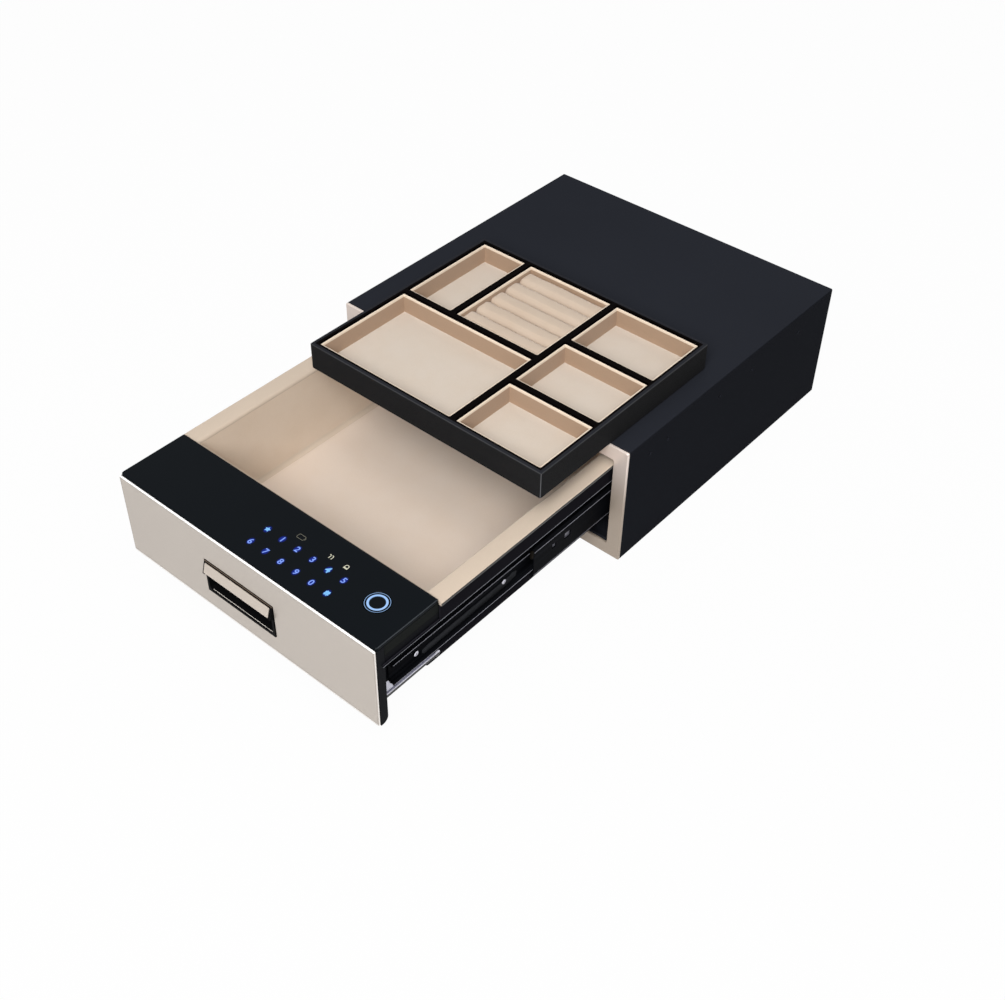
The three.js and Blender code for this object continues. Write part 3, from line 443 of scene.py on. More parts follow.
def panel_glass():
    """The back-printed black panel: wiping marks, a painted highlight on the side edge, and a blue glow
    round the keys.
    """
    f = Finish("panel_glass", "#0B0F13", 0.1, specular_ior_level=0.035, emission_strength=1.0)
    wipe = f.noise(38, 4, f.stretched(1, 0.35, 1), 0.6)
    dust = f.noise(3000, 1).step(0.72, 0.8)
    low, high = box_mm("touch_panel")
    x, y, z = f.axes()
    # Painted highlight: light lines along the glass's side edges
    edge = z.step(low.z + 0.8, low.z + 0.6) + 0.2 * z.step(high.z - 0.5, high.z - 0.3)
    edge = abs(x).step(high.x - 1.3, high.x - 1.1) * edge
    body = f.shaded(f.colour, 0.92 + 0.12 * wipe + 0.3 * dust)
    f.paint(f.mixed(edge * 0.6, body, "#8F969B"))
    f.rough(0.09 + 0.1 * wipe + 0.2 * dust)
    count = len(KEYS["x"])
    pitch = (KEYS["x"][-1] - KEYS["x"][0]) / (count - 1)
    start = KEYS["x"][0] - pitch / 2
    near = x.between(start, start + count * pitch)
    along = (f.math("FLOORED_MODULO", x - start, pitch) - pitch / 2) / KEYS["glow"][0]
    glow = 0
    for _, row in (KEYS["rear"], KEYS["front"]):
        across = (y - row) / KEYS["glow"][1]
        glow = glow + (along * along + across * across).step(1.7, 0.2) * near
    f.set("Emission Color", f.shaded("#0A1F8A", glow * (0.9 + 0.2 * wipe)))
    return f


def ring_light():
    """The reader's light guide: a bright band, a dark gap and a thin outer line."""
    f = Finish("ring_light", "#07090D", 0.25, emission_strength=1.0, specular_ior_level=0.03)
    low, high = box_mm("fingerprint_sensor")
    x, y, _ = f.axes()
    across = x - (low.x + high.x) / 2
    along = y - (low.y + high.y) / 2
    out = f.math("SQRT", across * across + along * along)
    band = out.between(*READER["band"], 0.3)
    line = out.between(*READER["line"])
    speck = f.noise(600, 2)
    glow = f.mixed(band, "#05070A", "#A4CCFF")
    glow = f.mixed(line * 0.85, glow, "#A4CCFF")
    f.set("Emission Color", f.shaded(glow, 0.94 + 0.12 * speck))
    f.rough(0.2 + 0.1 * speck)
    return f


def key_light(name, colour):
    """The printed signs, lit from below."""
    f = Finish(name, "#07090D", 0.3, emission_strength=1.0, specular_ior_level=0.03)
    f.set("Emission Color", f.shaded(colour, 0.86 + 0.28 * f.noise(420, 2)))
    return f


def circuit_board():
    """Green lacquer with paler tracks."""
    f = Finish("circuit_board", "#1F5A35", 0.45)
    tracks = f.cells(420, feature="DISTANCE_TO_EDGE").step(0.09, 0.04)
    f.paint(f.mixed(tracks * 0.5, f.colour, "#3E8A55"))
    f.rough(0.4 + 0.12 * f.noise(300))
    f.bump(tracks, 0.00005)
    return f


def cell_wrap():
    """The plain grey film round a cell."""
    f = Finish("cell_wrap", "#4A4D52", 0.32, metallic=0.4)
    film = f.noise(240, 2, f.stretched(1, 0.1, 1))
    f.paint(f.colour, 0.85 + 0.25 * film)
    f.rough(0.26 + 0.12 * film)
    return f


def leatherette():
    """The tray's black covering: small pebbles, creases between them, and corners with wear and painted
    highlights.
    """
    f = Finish("leatherette", "#232324", 0.6, specular_ior_level=0.01)
    drift = f.node("ShaderNodeTexNoise", None, {"Vector": f.here, "Scale": 700}, 1)
    warp = f.node("ShaderNodeVectorMath", {"operation": "ADD"}, {0: f.here, 1: f.shaded(drift, 0.0006)})
    crease = f.cells(1150, warp, feature="DISTANCE_TO_EDGE").step(0.02, 0.16)
    wear_and_highlight = f.noise(24, 3)
    low, high = tray_corner, tray_far
    x, y, z = f.axes()
    from_x = f.math("MINIMUM", x - low.x, high.x - x)
    from_y = f.math("MINIMUM", y - low.y, high.y - y)
    # Painted highlights: the upright corners and the top outer edge
    corner = from_x.step(1.1, 0.6) * from_y.step(1.1, 0.6)
    near = f.math("MINIMUM", from_x, from_y)
    rim = z.step(high.z - 0.9, high.z - 0.5) * near.step(1.0, 0.5)
    # Painted light: the top faces lighter and bluish
    top = z.step(high.z - 0.3, high.z - 0.1)
    # Near black inside the outer rim: the dividers' tops, and painted shade along the pockets' edges
    between = near.step(3.3, 3.8)
    body = f.mixed(top * 0.5, f.colour, "#2A2C33")
    body = f.shaded(f.mixed(between, body, "#060404"), 0.72 + 0.3 * crease + 0.16 * wear_and_highlight)
    # Painted highlights on the corners and the top outer edge, patchy with wear
    rubbed_and_highlit = (corner * 0.4 + rim * 0.12) * (0.5 + wear_and_highlight)
    f.paint(f.mixed(rubbed_and_highlit, body, "#85868A"))
    f.rough(0.68 - 0.16 * crease + 0.08 * wear_and_highlight)
    f.bump(crease + f.noise(4200, 1) * 0.2, 0.00012)
    return f


FINISHES = {
    "cabinet": powder_coat(),
    "tub": tub_coat(),
    "champagne": champagne("champagne_sheet", "#BFB4A9", 0.35),
    "frame": frame_sheet(),
    "face": face_plate(),
    **{part: rail_coat(part) for part in RAIL_HIGHLIGHTS},
    "steel": bright_steel(),
    "cage": zinc_plate("cage_zinc", "#7C7B85", 0.3),
    "screw": zinc_plate("screw_zinc", "#DEDDE8", 0.3),
    "strip": zinc_plate("strip_zinc", "#DEDDE8", 0.3, STRIP["shade_above"]),
    "zinc": zinc_plate(),
    # The drawer's rim gets a darker bead as painted shade, and its foot painted shade
    "lining": suede(
        "drawer_suede", "#DBC9B5", "#D0BCA6", bead=("#C1B09E", liner_high.z - 3.8),
        bound="drawer_liner", foot=liner_low.z + 8,
    ),
    "pad": suede("pad_suede", "#D9C9BA", "#D2BFAD"),
    # The pockets' walls are darker as painted shade, and their beads lighter as a painted highlight
    "tray_lining": suede(
        "tray_suede", "#C6BAAD", "#BFB09F", wall="#A1866E", bead=("#DDCBB6", tray_far.z - 3.6),
    ),
    "roll": suede("roll_suede", "#BFAD9B", "#B5A18D"),
    "moulded": moulded(),
    "lever": moulded("lever_plastic", "#2B2C2F"),
    "housing": housing_plastic(),
    "handle": handle_plastic(),
    "rubber": rubber(),
    "glass": panel_glass(),
    "ring": ring_light(),
    "blue": key_light("key_blue", "#86A8FF"),
    "cyan": key_light("key_cyan", "#84C6FF"),
    "cream": key_light("status_cream", "#D6D4BC"),
    "dim": key_light("status_dim", "#8A8878"),
    "board": circuit_board(),
    "cell": cell_wrap(),
    "hide": leatherette(),
}

NODE_FINISH = {
    "cabinet": ["cabinet_shell", "back_panel", *both("slide_bracket")],
    "tub": ["drawer_body"],
    "champagne": ["handle_plate"],
    "frame": ["front_frame"],
    "face": ["front_face"],
    **{part: both(f"slide_{part}") for part in RAIL_HIGHLIGHTS},
    "steel": ["lock_pinion", *both("lock_bolt")],
    "cage": both("ball_cage_outer") + both("ball_cage_inner"),
    "zinc": ["block_chassis", "lock_case", "lock_motor"],
    "moulded": ["front_plate", "battery_holder", "battery_cover"],
    "housing": ["block_housing"],
    "handle": ["handle_housing"],
    "glass": ["touch_panel", "fingerprint_sensor"],
    "ring": ["fingerprint_ring"],
    "board": ["control_board"],
    "cell": [f"battery_{i}" for i in (1, 2, 3, 4)],
    "hide": ["tray_shell"],
}

for finish, names in NODE_FINISH.items():
    for name in names:
        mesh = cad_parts[name].data
        mesh.materials.clear()
        mesh.materials.append(FINISHES[finish].material)


# Building meshes, in millimetres

def placed(name, data):
    """An object for a mesh, a lamp or a camera, put in the scene."""
    made = bpy.data.objects.new(name, data)
    bpy.context.scene.collection.objects.link(made)
    return made


def evaluated(obj):
    """The mesh that an object's modifiers give."""
    return bpy.data.meshes.new_from_object(obj.evaluated_get(bpy.context.evaluated_depsgraph_get()))


def piece(name, shape, finish, body, smooth=40.0):
    """A closed mesh with its faces outwards, riding on a body. A shape is its points and faces."""
    points, faces = shape
    mesh = bpy.data.meshes.new(name)
    mesh.from_pydata([Vector(p) * MM for p in points], [], faces)
    work = bmesh.new()
    work.from_mesh(mesh)
    bmesh.ops.remove_doubles(work, verts=work.verts, dist=1e-7)
    bmesh.ops.recalc_face_normals(work, faces=work.faces)
    work.to_mesh(mesh)
    work.free()
    return finished(name, mesh, finish, body, smooth)


def dressed(mesh, material):
    """Gives a mesh its material and smooth shading."""
    mesh.materials.clear()
    mesh.materials.append(material)
    mesh.polygons.foreach_set("use_smooth", [True] * len(mesh.polygons))


def finished(name, mesh, finish, body, smooth=40.0):
    """An object for a mesh, with its finish, shading and body."""
    dressed(mesh, FINISHES[finish].material)
    mesh.set_sharp_from_angle(angle=math.radians(smooth))
    made = placed(name, mesh)
    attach(made, body)
    return made


def skin(rings, caps=True):
    """Points and faces over rings of equally many points, flat at both ends."""
    count = len(rings[0])
    points = [p for section in rings for p in section]
    faces = []
    for i in range(len(rings) - 1):
        for j in range(count):
            k = (j + 1) % count
            faces.append((i * count + j, i * count + k, (i + 1) * count + k, (i + 1) * count + j))
    if caps:
        faces.append(tuple(reversed(range(count))))
        faces.append(tuple(range(len(points) - count, len(points))))
    return points, faces


def arc(cx, cy, radius, start, end, steps):
    """Points round a centre, as pairs, with the angles in degrees."""
    angles = [math.radians(start + (end - start) * i / steps) for i in range(steps + 1)]
    return [(cx + radius * math.cos(a), cy + radius * math.sin(a)) for a in angles]


def ring(x0, y0, x1, y1, z, radii, turns=6, sides=(24, 24)):
    """A rectangle with round corners, from its lower left corner anticlockwise."""
    r0, r1, r2, r3 = radii if hasattr(radii, "__len__") else (radii,) * 4
    corners = [
        (x0 + r0, y0 + r0, r0, 180), (x1 - r1, y0 + r1, r1, 270),
        (x1 - r2, y1 - r2, r2, 0), (x0 + r3, y1 - r3, r3, 90),
    ]
    arcs = [arc(x, y, r, start, start + 90, turns) for x, y, r, start in corners]
    points = []
    for i, corner in enumerate(arcs):
        points += corner
        (ax, ay), (bx, by) = corner[-1], arcs[(i + 1) % 4][0]
        steps = sides[i % 2]
        points += [(ax + (bx - ax) * s / steps, ay + (by - ay) * s / steps) for s in range(1, steps)]
    return [(x, y, z) for x, y in points]


def slab(x0, y0, x1, y1, z0, z1, radius, edge):
    """A plate with round corners in plan and eased edges above and below."""
    def inset(by, z):
        return ring(x0 + by, y0 + by, x1 - by, y1 - by, z, max(radius - by, 0.05), turns=5, sides=(2, 2))

    return skin([inset(edge, z0), inset(0, z0 + edge), inset(0, z1 - edge), inset(edge, z1)])


def merged(parts):
    """Several shapes as one list of points and faces."""
    points, faces = [], []
    for more, their_faces in parts:
        faces += [tuple(i + len(points) for i in face) for face in their_faces]
        points += more
    return points, faces


def soften(obj, amount, wave):
    """Moves the points along their normals by a smooth wave, in millimetres."""
    points = obj.data.vertices
    normals = [v.normal.copy() for v in points]
    for v, normal in zip(points, normals):
        v.co += normal * (noise.noise(v.co / (wave * MM)) * amount * MM)


STUFFING = {"grown": 20, "voxel": 1.5, "pressure": 4, "cap": 0.5, "slack": 0.4, "frames": 20}


def stuffed(pieces):
    """Swells padded pieces with a cloth simulation, run on enlarged copies."""
    size = STUFFING
    scene = bpy.context.scene
    works = []
    for made in pieces:
        low = Vector(min(v.co[i] for v in made.data.vertices) for i in range(3))
        grow = Matrix.Scale(size["grown"], 4) @ Matrix.Translation(-low)
        mesh = made.data.copy()
        mesh.transform(grow)
        work = placed("work", mesh)
        remesh = work.modifiers.new("remesh", "REMESH")
        remesh.mode = "VOXEL"
        remesh.voxel_size = size["voxel"] * MM * size["grown"]
        even = evaluated(work)
        work.modifiers.clear()
        work.data = even
        cloth = work.modifiers.new("cloth", "CLOTH").settings
        cloth.use_pressure = True
        cloth.uniform_pressure_force = size["pressure"]
        cloth.effector_weights.gravity = 0
        works.append((made, work, grow))
    for step in range(1, size["frames"] + 1):
        scene.frame_set(step)
    limit = size["cap"] * MM * size["grown"]
    for made, work, grow in works:
        swollen = evaluated(work)
        for still, moved in zip(work.data.vertices, swollen.vertices):
            way = moved.co - still.co
            moved.co = still.co + way * min(1, limit / max(way.length, 1e-9))
        work.modifiers.clear()
        work.data = swollen
        finer = work.modifiers.new("finer", "SUBSURF")
        finer.levels = finer.render_levels = 1
        mesh = evaluated(work)
        mesh.transform(grow.inverted())
        dressed(mesh, made.data.materials[0])
        made.data = mesh
        bpy.data.objects.remove(work)
    scene.frame_set(1)


# The drawer's lining

LINING = {
    "wall": 1.8, "front": 0.8, "rear": 18.2, "body_top": 1.2, "front_top": 0.3,
    "foot": 5.7, "outer_foot": 7.5, "rear_corner": 5.7, "front_corner": 1.0, "ledge_round": 1.6,
    "beside_case": 1.1, "levels": (99, 92, 84, 74),
}
RIM = {"thick": 4.0, "turn": 4.0, "roll": 3.0, "edge": 1.8, "skirt": 5.6, "tuck": 0.12, "crown": 0.25}

# The pad's rings: how far in from its outline, and how high above its foot or its top
PAD = {
    "corners": (2.0, 2.0, 5.7, 5.7), "side": ((1.2, 0), (0.2, 0.5), (0, 1.0), (0.3, 1.6)),
    "crown": ((1.2, 0), (3, 0.15), (8, 0.25), (30, 0.3), (70, 0.3)),
}


def lining_body():
    """One skin: under the floor, up outside over the lock, down inside to the floor."""
    size = LINING
    case = box_mm("lock_case")[1]
    wall, near, far = size["wall"], size["front_corner"], size["rear_corner"]
    half = case.x + size["beside_case"] - SEAT
    front, back = liner_low.y + size["front"], liner_high.y - size["rear"]
    step_y, step_z = case.y + SEAT, case.z + SEAT
    top = liner_high.z - RIM["thick"] + size["body_top"]
    under_glass = liner_high.z - size["body_top"] - size["front_top"]

    def around(x, y0, y1, z, front_z=None):
        points = ring(-x, y0, x, y1, z, (near, near, far, far))
        return [(px, py, front_z if front_z and py < y0 + near + 0.2 else pz) for px, py, pz in points]

    foot = size["outer_foot"]
    curve = arc(-foot, liner_low.z + foot, foot, 270, 360, 5)
    rings = [around(half + x, step_y - x, back + x, z) for x, z in curve]
    rings += [around(half, step_y, back, step_z), around(half, front, back, step_z + 0.1)]
    rings.append(around(half, front, back, top, under_glass))

    half, front, back = half - wall, front + wall, back - wall
    step_y, step_z = step_y + wall, step_z + wall
    rings.append(around(half, front, back, top, under_glass))
    rings += [around(half, front, back, z) for z in size["levels"]]
    r = size["ledge_round"]
    ledge = arc(front + r, step_z + r, r, 180, 270, 3) + arc(step_y - r, step_z - r, r, 90, 0, 3)
    rings += [around(half, y, back, z) for y, z in ledge]
    foot = size["foot"]
    curve = arc(-foot, liner_low.z + wall + foot, foot, 0, -90, 6)
    rings += [around(half + x, step_y - x, back + x, z) for x, z in curve]
    return skin(rings), half, back


def round_three_sides(half, back, turn):
    """A path up the left side, round the corner, along the back and down the right side."""
    front = liner_low.y
    line = [(-half, front + i / 24 * (back - turn - front)) for i in range(25)]
    line += arc(-half + turn, back - turn, turn, 180, 90, 8)[1:]
    line += [((-half + turn) * (1 - i / 12), back) for i in range(1, 13)]
    return line + [(-x, y) for x, y in reversed(line[:-1])]


def padded_rim(inside, back):
    """A soft roll swept round three sides, wrapped down over the lining's edge."""
    size = RIM
    high = liner_high
    width = high.x - inside
    bottom, skirt = high.z - size["thick"], high.z - size["skirt"]
    r, e, tuck = size["roll"], size["edge"], size["tuck"]
    section = [(-tuck, skirt)]
    section += [(u - tuck, z) for u, z in arc(r, high.z - r, r, 180, 90, 6)]
    section += [((r + width - e) / 2, high.z + size["crown"])]
    section += arc(width - e, high.z - e, e, 90, 0, 5)
    section += [(width, bottom + 0.6), (width - 0.5, bottom)]
    section += [(LINING["wall"] / 2, z) for z in (bottom, skirt)]

    inner = round_three_sides(inside, back, LINING["rear_corner"])
    outer = round_three_sides(high.x, high.y, size["turn"])
    rings = []
    for (ax, ay), (bx, by) in zip(inner, outer):
        rings.append([(ax + (bx - ax) * u / width, ay + (by - ay) * u / width, z) for u, z in section])
    return skin(rings)


def drawer_lining():
    """The suede-covered lining with its padded rim, in one piece."""
    body, inside, back = lining_body()
    shape = merged([body, padded_rim(inside, back)])
    made = piece("drawer_lining", shape, "lining", "drawer")
    soften(made, amount=0.2, wave=26)
    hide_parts("drawer_liner")


def floor_pad():
    """The thin pad on the drawer's floor."""
    low, high = box_mm("drawer_floor_pad")

    def inset(by, z):
        radii = [max(r - by * 0.2, 0.5) for r in PAD["corners"]]
        return ring(low.x + by, low.y + by, high.x - by, high.y - by, z, radii, sides=(30, 32))

    rings = [inset(by, low.z + rise) for by, rise in PAD["side"]]
    rings += [inset(by, high.z + rise) for by, rise in PAD["crown"]]
    made = piece("floor_pad", skin(rings), "pad", "drawer")
    soften(made, amount=0.12, wave=34)
    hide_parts("drawer_floor_pad")


drawer_lining()
floor_pad()


# The tray, drawn from its own corner

TRAY = {
    "width": 276.5, "depth": 244.5, "height": 28.0, "wall": 5.7, "divider": 5.6, "floor": 4.0,
    "left_width": 163.0, "front_depth": 114.0, "small_width": 55.8,
}
POCKET = {"wall": 1.9, "floor": 2.5, "below": 1.5, "gap": 0.9, "corner": 1.2, "lean": 0.3, "foot": 0.6}

# The bars' sections are round where their power is 1, and squarer where it is less
ROLL = {
    "count": 5, "height": 16.5, "gap": 0.4, "taper": 4.0, "pinch": 0.22, "flat_end": 0.12, "below": 0.45,
    "power_y": 0.55, "power_z": 0.75,
}


def tray_cells():
    """The pockets' outlines, as their nearest and farthest corners."""
    near, divider = TRAY["wall"], TRAY["divider"]
    left_end = near + TRAY["left_width"]
    right, right_end = left_end + divider, TRAY["width"] - near
    far = TRAY["depth"] - near
    rear = near + TRAY["front_depth"] + divider
    small_end = near + TRAY["small_width"]
    third = (far - near - 2 * divider) / 3
    cells = {
        "large": (near, near, left_end, near + TRAY["front_depth"]),
        "small": (near, rear, small_end, far),
        "rings": (small_end + divider, rear, left_end, far),
    }
    for i, name in enumerate(("right_front", "right_middle", "right_rear")):
        y = near + i * (third + divider)
        cells[name] = (right, y, right_end, y + third)
    return cells


def on_tray(shape):
    """A shape drawn from the tray's corner, put in its place."""
    points, faces = shape
    return [tray_corner + Vector(p) for p in points], faces


def pocket_lining(name, cell):
    """A covered card lining with a soft bead along its top."""
    size = POCKET
    base = TRAY["floor"] + SEAT
    top = TRAY["height"] - size["below"]
    half = size["wall"] / 2
    floor = base + size["floor"]

    def inset(by, z, corner):
        x0, y0, x1, y1 = cell
        return ring(x0 + by, y0 + by, x1 - by, y1 - by, z, max(corner, 0.3), turns=4, sides=(16, 14))

    outer, gap, foot = size["corner"], size["gap"], size["foot"]
    rings = [inset(x, z, outer) for x, z in ((gap + 0.6, base), (gap, base + 0.6), (gap, top - half))]
    bead = arc(gap + half, top - half, half, 180, 0, 8)[1:]
    rings += [inset(x, z, outer - x * 0.5) for x, z in bead]
    inner = gap + size["wall"]
    leaning = inner + size["lean"]
    inside = [(leaning, top - half - 1.6), (leaning, floor + 6)]
    inside += arc(leaning + foot, floor + foot, foot, 180, 270, 3)
    rings += [inset(x, z, 0.4) for x, z in inside]
    rings.append(inset(inner + 8, floor + 0.1, 2))
    made = piece(f"pocket_{name}", on_tray(skin(rings)), "tray_lining", "tray")
    soften(made, amount=0.1, wave=12)
    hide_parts(f"tray_lining_{name}")


def roll_section(x, y, low, half, full, slack, sides=28):
    """One section of a bar: nearly square at its sides, flatter above and below."""
    under = ROLL["height"] * ROLL["below"]
    points = []
    for k in range(sides):
        a = 2 * math.pi * k / sides
        c, n = math.cos(a), math.sin(a)
        py = math.copysign(abs(c) ** ROLL["power_y"], c) * (half - slack) * min(1, full + ROLL["flat_end"])
        pz = math.copysign(abs(n) ** ROLL["power_z"], n)
        height = ROLL["height"] * (1 - ROLL["below"]) if n > 0 else under
        points.append((x, y + py, low + under + pz * (height - slack) * full))
    return points


def ring_rolls(cell, steps=40):
    """Padded bars that hold rings, pulled in at their ends and swollen as cloth."""
    x0, y0, x1, y1 = cell
    slack = STUFFING["slack"]
    made = []
    inner = 2 * SEAT + POCKET["wall"]
    width = (y1 - y0 - 2 * inner - (ROLL["count"] - 1) * ROLL["gap"]) / ROLL["count"]
    low = TRAY["floor"] + 2 * SEAT + POCKET["floor"]
    length = x1 - x0 - 2 * inner
    for i in range(ROLL["count"]):
        y = y0 + inner + width / 2 + i * (width + ROLL["gap"])
        rings = []
        for s in range(steps + 1):
            t = s / steps
            x = x0 + inner + slack + t * (length - 2 * slack)
            near_end = 1 - min(min(t, 1 - t) * length, ROLL["taper"]) / ROLL["taper"]
            full = (1 - near_end ** 2) ** 0.5 * ROLL["pinch"] + (1 - ROLL["pinch"])
            rings.append(roll_section(x, y, low, width / 2, full, slack))
        roll = piece(f"ring_roll_pad_{i + 1}", on_tray(skin(rings)), "roll", "tray")
        soften(roll, amount=0.35, wave=14 + i)
        made.append(roll)
    stuffed(made)
    for i, roll in enumerate(made):
        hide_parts(f"ring_roll_{i + 1}")


cells = tray_cells()
for name, cell in cells.items():
    pocket_lining(name, cell)
ring_rolls(cells["rings"])


# Screws, by geometry nodes

# Radius and height of each kind of head, then shares of them for its dome and its cross
HEAD = {"rail": (2.6, 1.1), "back": (3.2, 0.7)}
DOME = {"top": 0.6, "height": 0.5, "lift": 0.49}
CROSS = {"long": 1.1, "wide": 0.3, "lift": 0.8}


def screw_tree(material):
    """Domed heads with a cross recess, one on each point of a mesh, standing along an axis."""
    group = bpy.data.node_groups.new("screw_heads", "GeometryNodeTree")
    face = group.interface
    kinds = {"Points": "Geometry", "Radius": "Float", "Height": "Float", "Axis": "Vector"}
    for name, kind in kinds.items():
        face.new_socket(name=name, in_out="INPUT", socket_type=f"NodeSocket{kind}")
    face.new_socket(name="Heads", in_out="OUTPUT", socket_type="NodeSocketGeometry")
    tree = Tree(group)
    given = group.nodes.new("NodeGroupInput").outputs
    radius, height, axis = (Wire(tree, given[name]) for name in ("Radius", "Height", "Axis"))

    def raised(shape, z):
        up = tree.node("ShaderNodeCombineXYZ", inputs={"Z": z})
        return tree.node("GeometryNodeTransform", None, {"Geometry": shape, "Translation": up})

    sizes = {"Vertices": 20, "Radius": radius, "Depth": height}
    disc = tree.node("GeometryNodeMeshCylinder", None, sizes)
    sizes = {"Radius Top": radius * DOME["top"], "Radius Bottom": radius, "Depth": height * DOME["height"]}
    dome = tree.node("GeometryNodeMeshCone", None, {"Vertices": 20, **sizes})
    dome = raised(dome, height * DOME["lift"])
    head = tree.node("GeometryNodeMeshBoolean", {"operation": "UNION"}, {"Mesh 2": [disc, dome]})
    bars = []
    long, wide = radius * CROSS["long"], radius * CROSS["wide"]
    for x, y in ((long, wide), (wide, long)):
        size = tree.node("ShaderNodeCombineXYZ", inputs={"X": x, "Y": y, "Z": height})
        bar = tree.node("GeometryNodeMeshCube", None, {"Size": size})
        bars.append(raised(bar, height * CROSS["lift"]))
    cut = {"Mesh 1": head, "Mesh 2": bars}
    head = tree.node("GeometryNodeMeshBoolean", {"operation": "DIFFERENCE"}, cut)
    turn = tree.node("FunctionNodeAlignRotationToVector", {"axis": "Z"}, {"Vector": axis})
    places = tree.node("GeometryNodeMeshToPoints", inputs={"Mesh": Wire(tree, given["Points"])})
    heads = {"Points": places, "Instance": head, "Rotation": turn}
    heads = tree.node("GeometryNodeInstanceOnPoints", None, heads)
    real = tree.node("GeometryNodeRealizeInstances", inputs={"Geometry": heads})
    done = tree.node("GeometryNodeSetMaterial", inputs={"Geometry": real, "Material": material})
    tree.feed(group.nodes.new("NodeGroupOutput").inputs["Heads"], done)
    return group


def screws(name, places, head, axis, body, finish="steel"):
    """A piece of screw heads at places in millimetres, half sunk along their axis."""
    mesh = bpy.data.meshes.new(name)
    mesh.from_pydata([Vector(p) * MM for p in places], [], [])
    source = placed(name, mesh)
    modifier = source.modifiers.new("heads", "NODES")
    modifier.node_group = screw_tree(FINISHES[finish].material)
    radius, height = HEAD[head]
    values = {"Radius": radius * MM, "Height": height * MM, "Axis": axis}
    for socket in modifier.node_group.interface.items_tree:
        if socket.name in values:
            modifier[socket.identifier] = values[socket.name]
    made = evaluated(source)
    bpy.data.objects.remove(source)
    return finished(name, made, finish, body, smooth=30)


# Small parts on the slides

LEVER = {"front": -408.0, "rear": -289.0, "low": 46.7, "high": 53.4, "thick": 1.3}
BUFFER = {"out": 2.9, "ahead": 2.9, "low": 64.5, "high": 73.5}
LIP = {"front": -463.5, "out": 157.5, "thick": 1.3, "high": 2.6}


def mirrored(points, side):
    """Points of the right side, turned over for the left."""
    return points if side == "right" else [(-x, y, z) for x, y, z in points]


def side_piece(name, side, shape, finish, body):
    """A piece of one side, from a shape drawn for the right."""
    points, faces = shape
    piece(f"{name}_{side}", (mirrored(points, side), faces), finish, body)


def release_lever(side):
    """The black lever on the inner rail that lets the drawer come off."""
    size = LEVER
    web = box_mm("slide_inner_right")[0].x + 1.2
    front, rear, low, high = (size[k] for k in ("front", "rear", "low", "high"))
    outline = [
        (front, low + 1.2), (front + 1.2, low), (rear - 12, low), (rear - 6, low + 1.6),
        (rear, low + 3.4), (rear + 1, high + 1.4), (rear - 4, high + 2.4), (rear - 11, high + 0.4),
        (front + 7, high - 0.6), (front + 1.6, high - 1.6), (front, high - 3),
    ]
    mid_y, mid_z = (front + rear) / 2, (low + high) / 2
    rings = []
    for x, by in ((0.05, 0), (size["thick"] - 0.35, 0), (size["thick"], 0.35)):
        inset = [(y + math.copysign(by, mid_y - y), z + math.copysign(by, mid_z - z)) for y, z in outline]
        rings.append([(web + x, y, z) for y, z in inset])
    side_piece("release_lever", side, skin(rings), "lever", "drawer")


def rail_buffer(side):
    """A brown rubber buffer on the middle rail's front end."""
    size = BUFFER
    low, high = box_mm("slide_middle_right")
    x0, x1 = high.x - size["out"], high.x - 0.1
    points, faces = slab(x0, size["low"], x1, size["high"], 0, size["ahead"], 1.3, 0.7)
    shape = [(x, low.y - 0.1 - y, z) for x, z, y in points], faces
    side_piece("slide_buffer", side, shape, "rubber", f"middle_rail_{side}")


def bolt_end(side):
    """A zinc strip along the block and the tub, hollowed round the bolt's polished end."""
    size = STRIP
    low, high = box_mm("lock_bolt_right")
    y, z = (low.y + high.y) / 2, low.z + (high.y - low.y) / 2
    face = box_mm("block_chassis")[1].x
    reach = (high.y - low.y) / 2 + size["play"]
    outline = [(size["front"], size["low"]), *arc(y, z, reach, 215, 145, 6)]
    tip = size["tip"]
    outline += [(y - tip, size["high"]), (size["front"], size["high"])]
    rings = [[(face + x, py, pz) for py, pz in outline] for x in (0.05, size["thick"])]
    side_piece("bolt_strip", side, skin(rings), "strip", "drawer")
    rings = []
    for x, r in ((-1.1, tip), (0.3, tip), (0.6, tip - 0.35), (0.65, 1.2), (0.55, 0.9)):
        rings.append([(face + x, py, pz) for py, pz in arc(y, z, r, 0, 337.5, 15)])
    side_piece("bolt_tip", side, skin(rings), "screw", f"bolt_{side}")


def lip_front(side):
    """The tub's side lip carried on along the block."""
    size = LIP
    tub_low, tub_high = box_mm("drawer_body")
    low = tub_high.z - LIP_DROP
    front, rear, out = size["front"], tub_low.y - SEAT, size["out"]
    points, faces = slab(front, low, rear, low + size["high"], out - size["thick"], out, 0.5, 0.15)
    shape = [(x, y, z) for y, z, x in points], faces
    side_piece("lip_front", side, shape, "tub", "drawer")


RAIL_SCREWS = [(145.75, -415.5, 54.2), (145.75, -305.0, 53.4), (145.75, -150.0, 54.0)]
BACK_SCREWS = [(x, 172.28, z) for x in (-160, -55, 55, 160) for z in (12, 118)]

for side in SIDES:
    release_lever(side)
    rail_buffer(side)
    bolt_end(side)
    lip_front(side)
    outwards = mirrored([(1, 0, 0)], side)[0]
    places = mirrored(RAIL_SCREWS, side)
    screws(f"slide_screws_{side}", places, "rail", outwards, "drawer", "screw")
screws("back_panel_screws", BACK_SCREWS, "back", (0, 1, 0), "cabinet")


# Keys and signs on the panel

SIGNS = {
    "battery": (22.3, -420.5), "wave": (56.9, -420.5), "padlock": (75.25, -420.5),
    "thin": 0.3, "stroke": 0.75, "heavy": 1.5, "star": (2.9, 1.6), "capital": 0.72,
}
glass_top = box_mm("touch_panel")[1].z
sign_top = glass_top + KEYS["thick"]


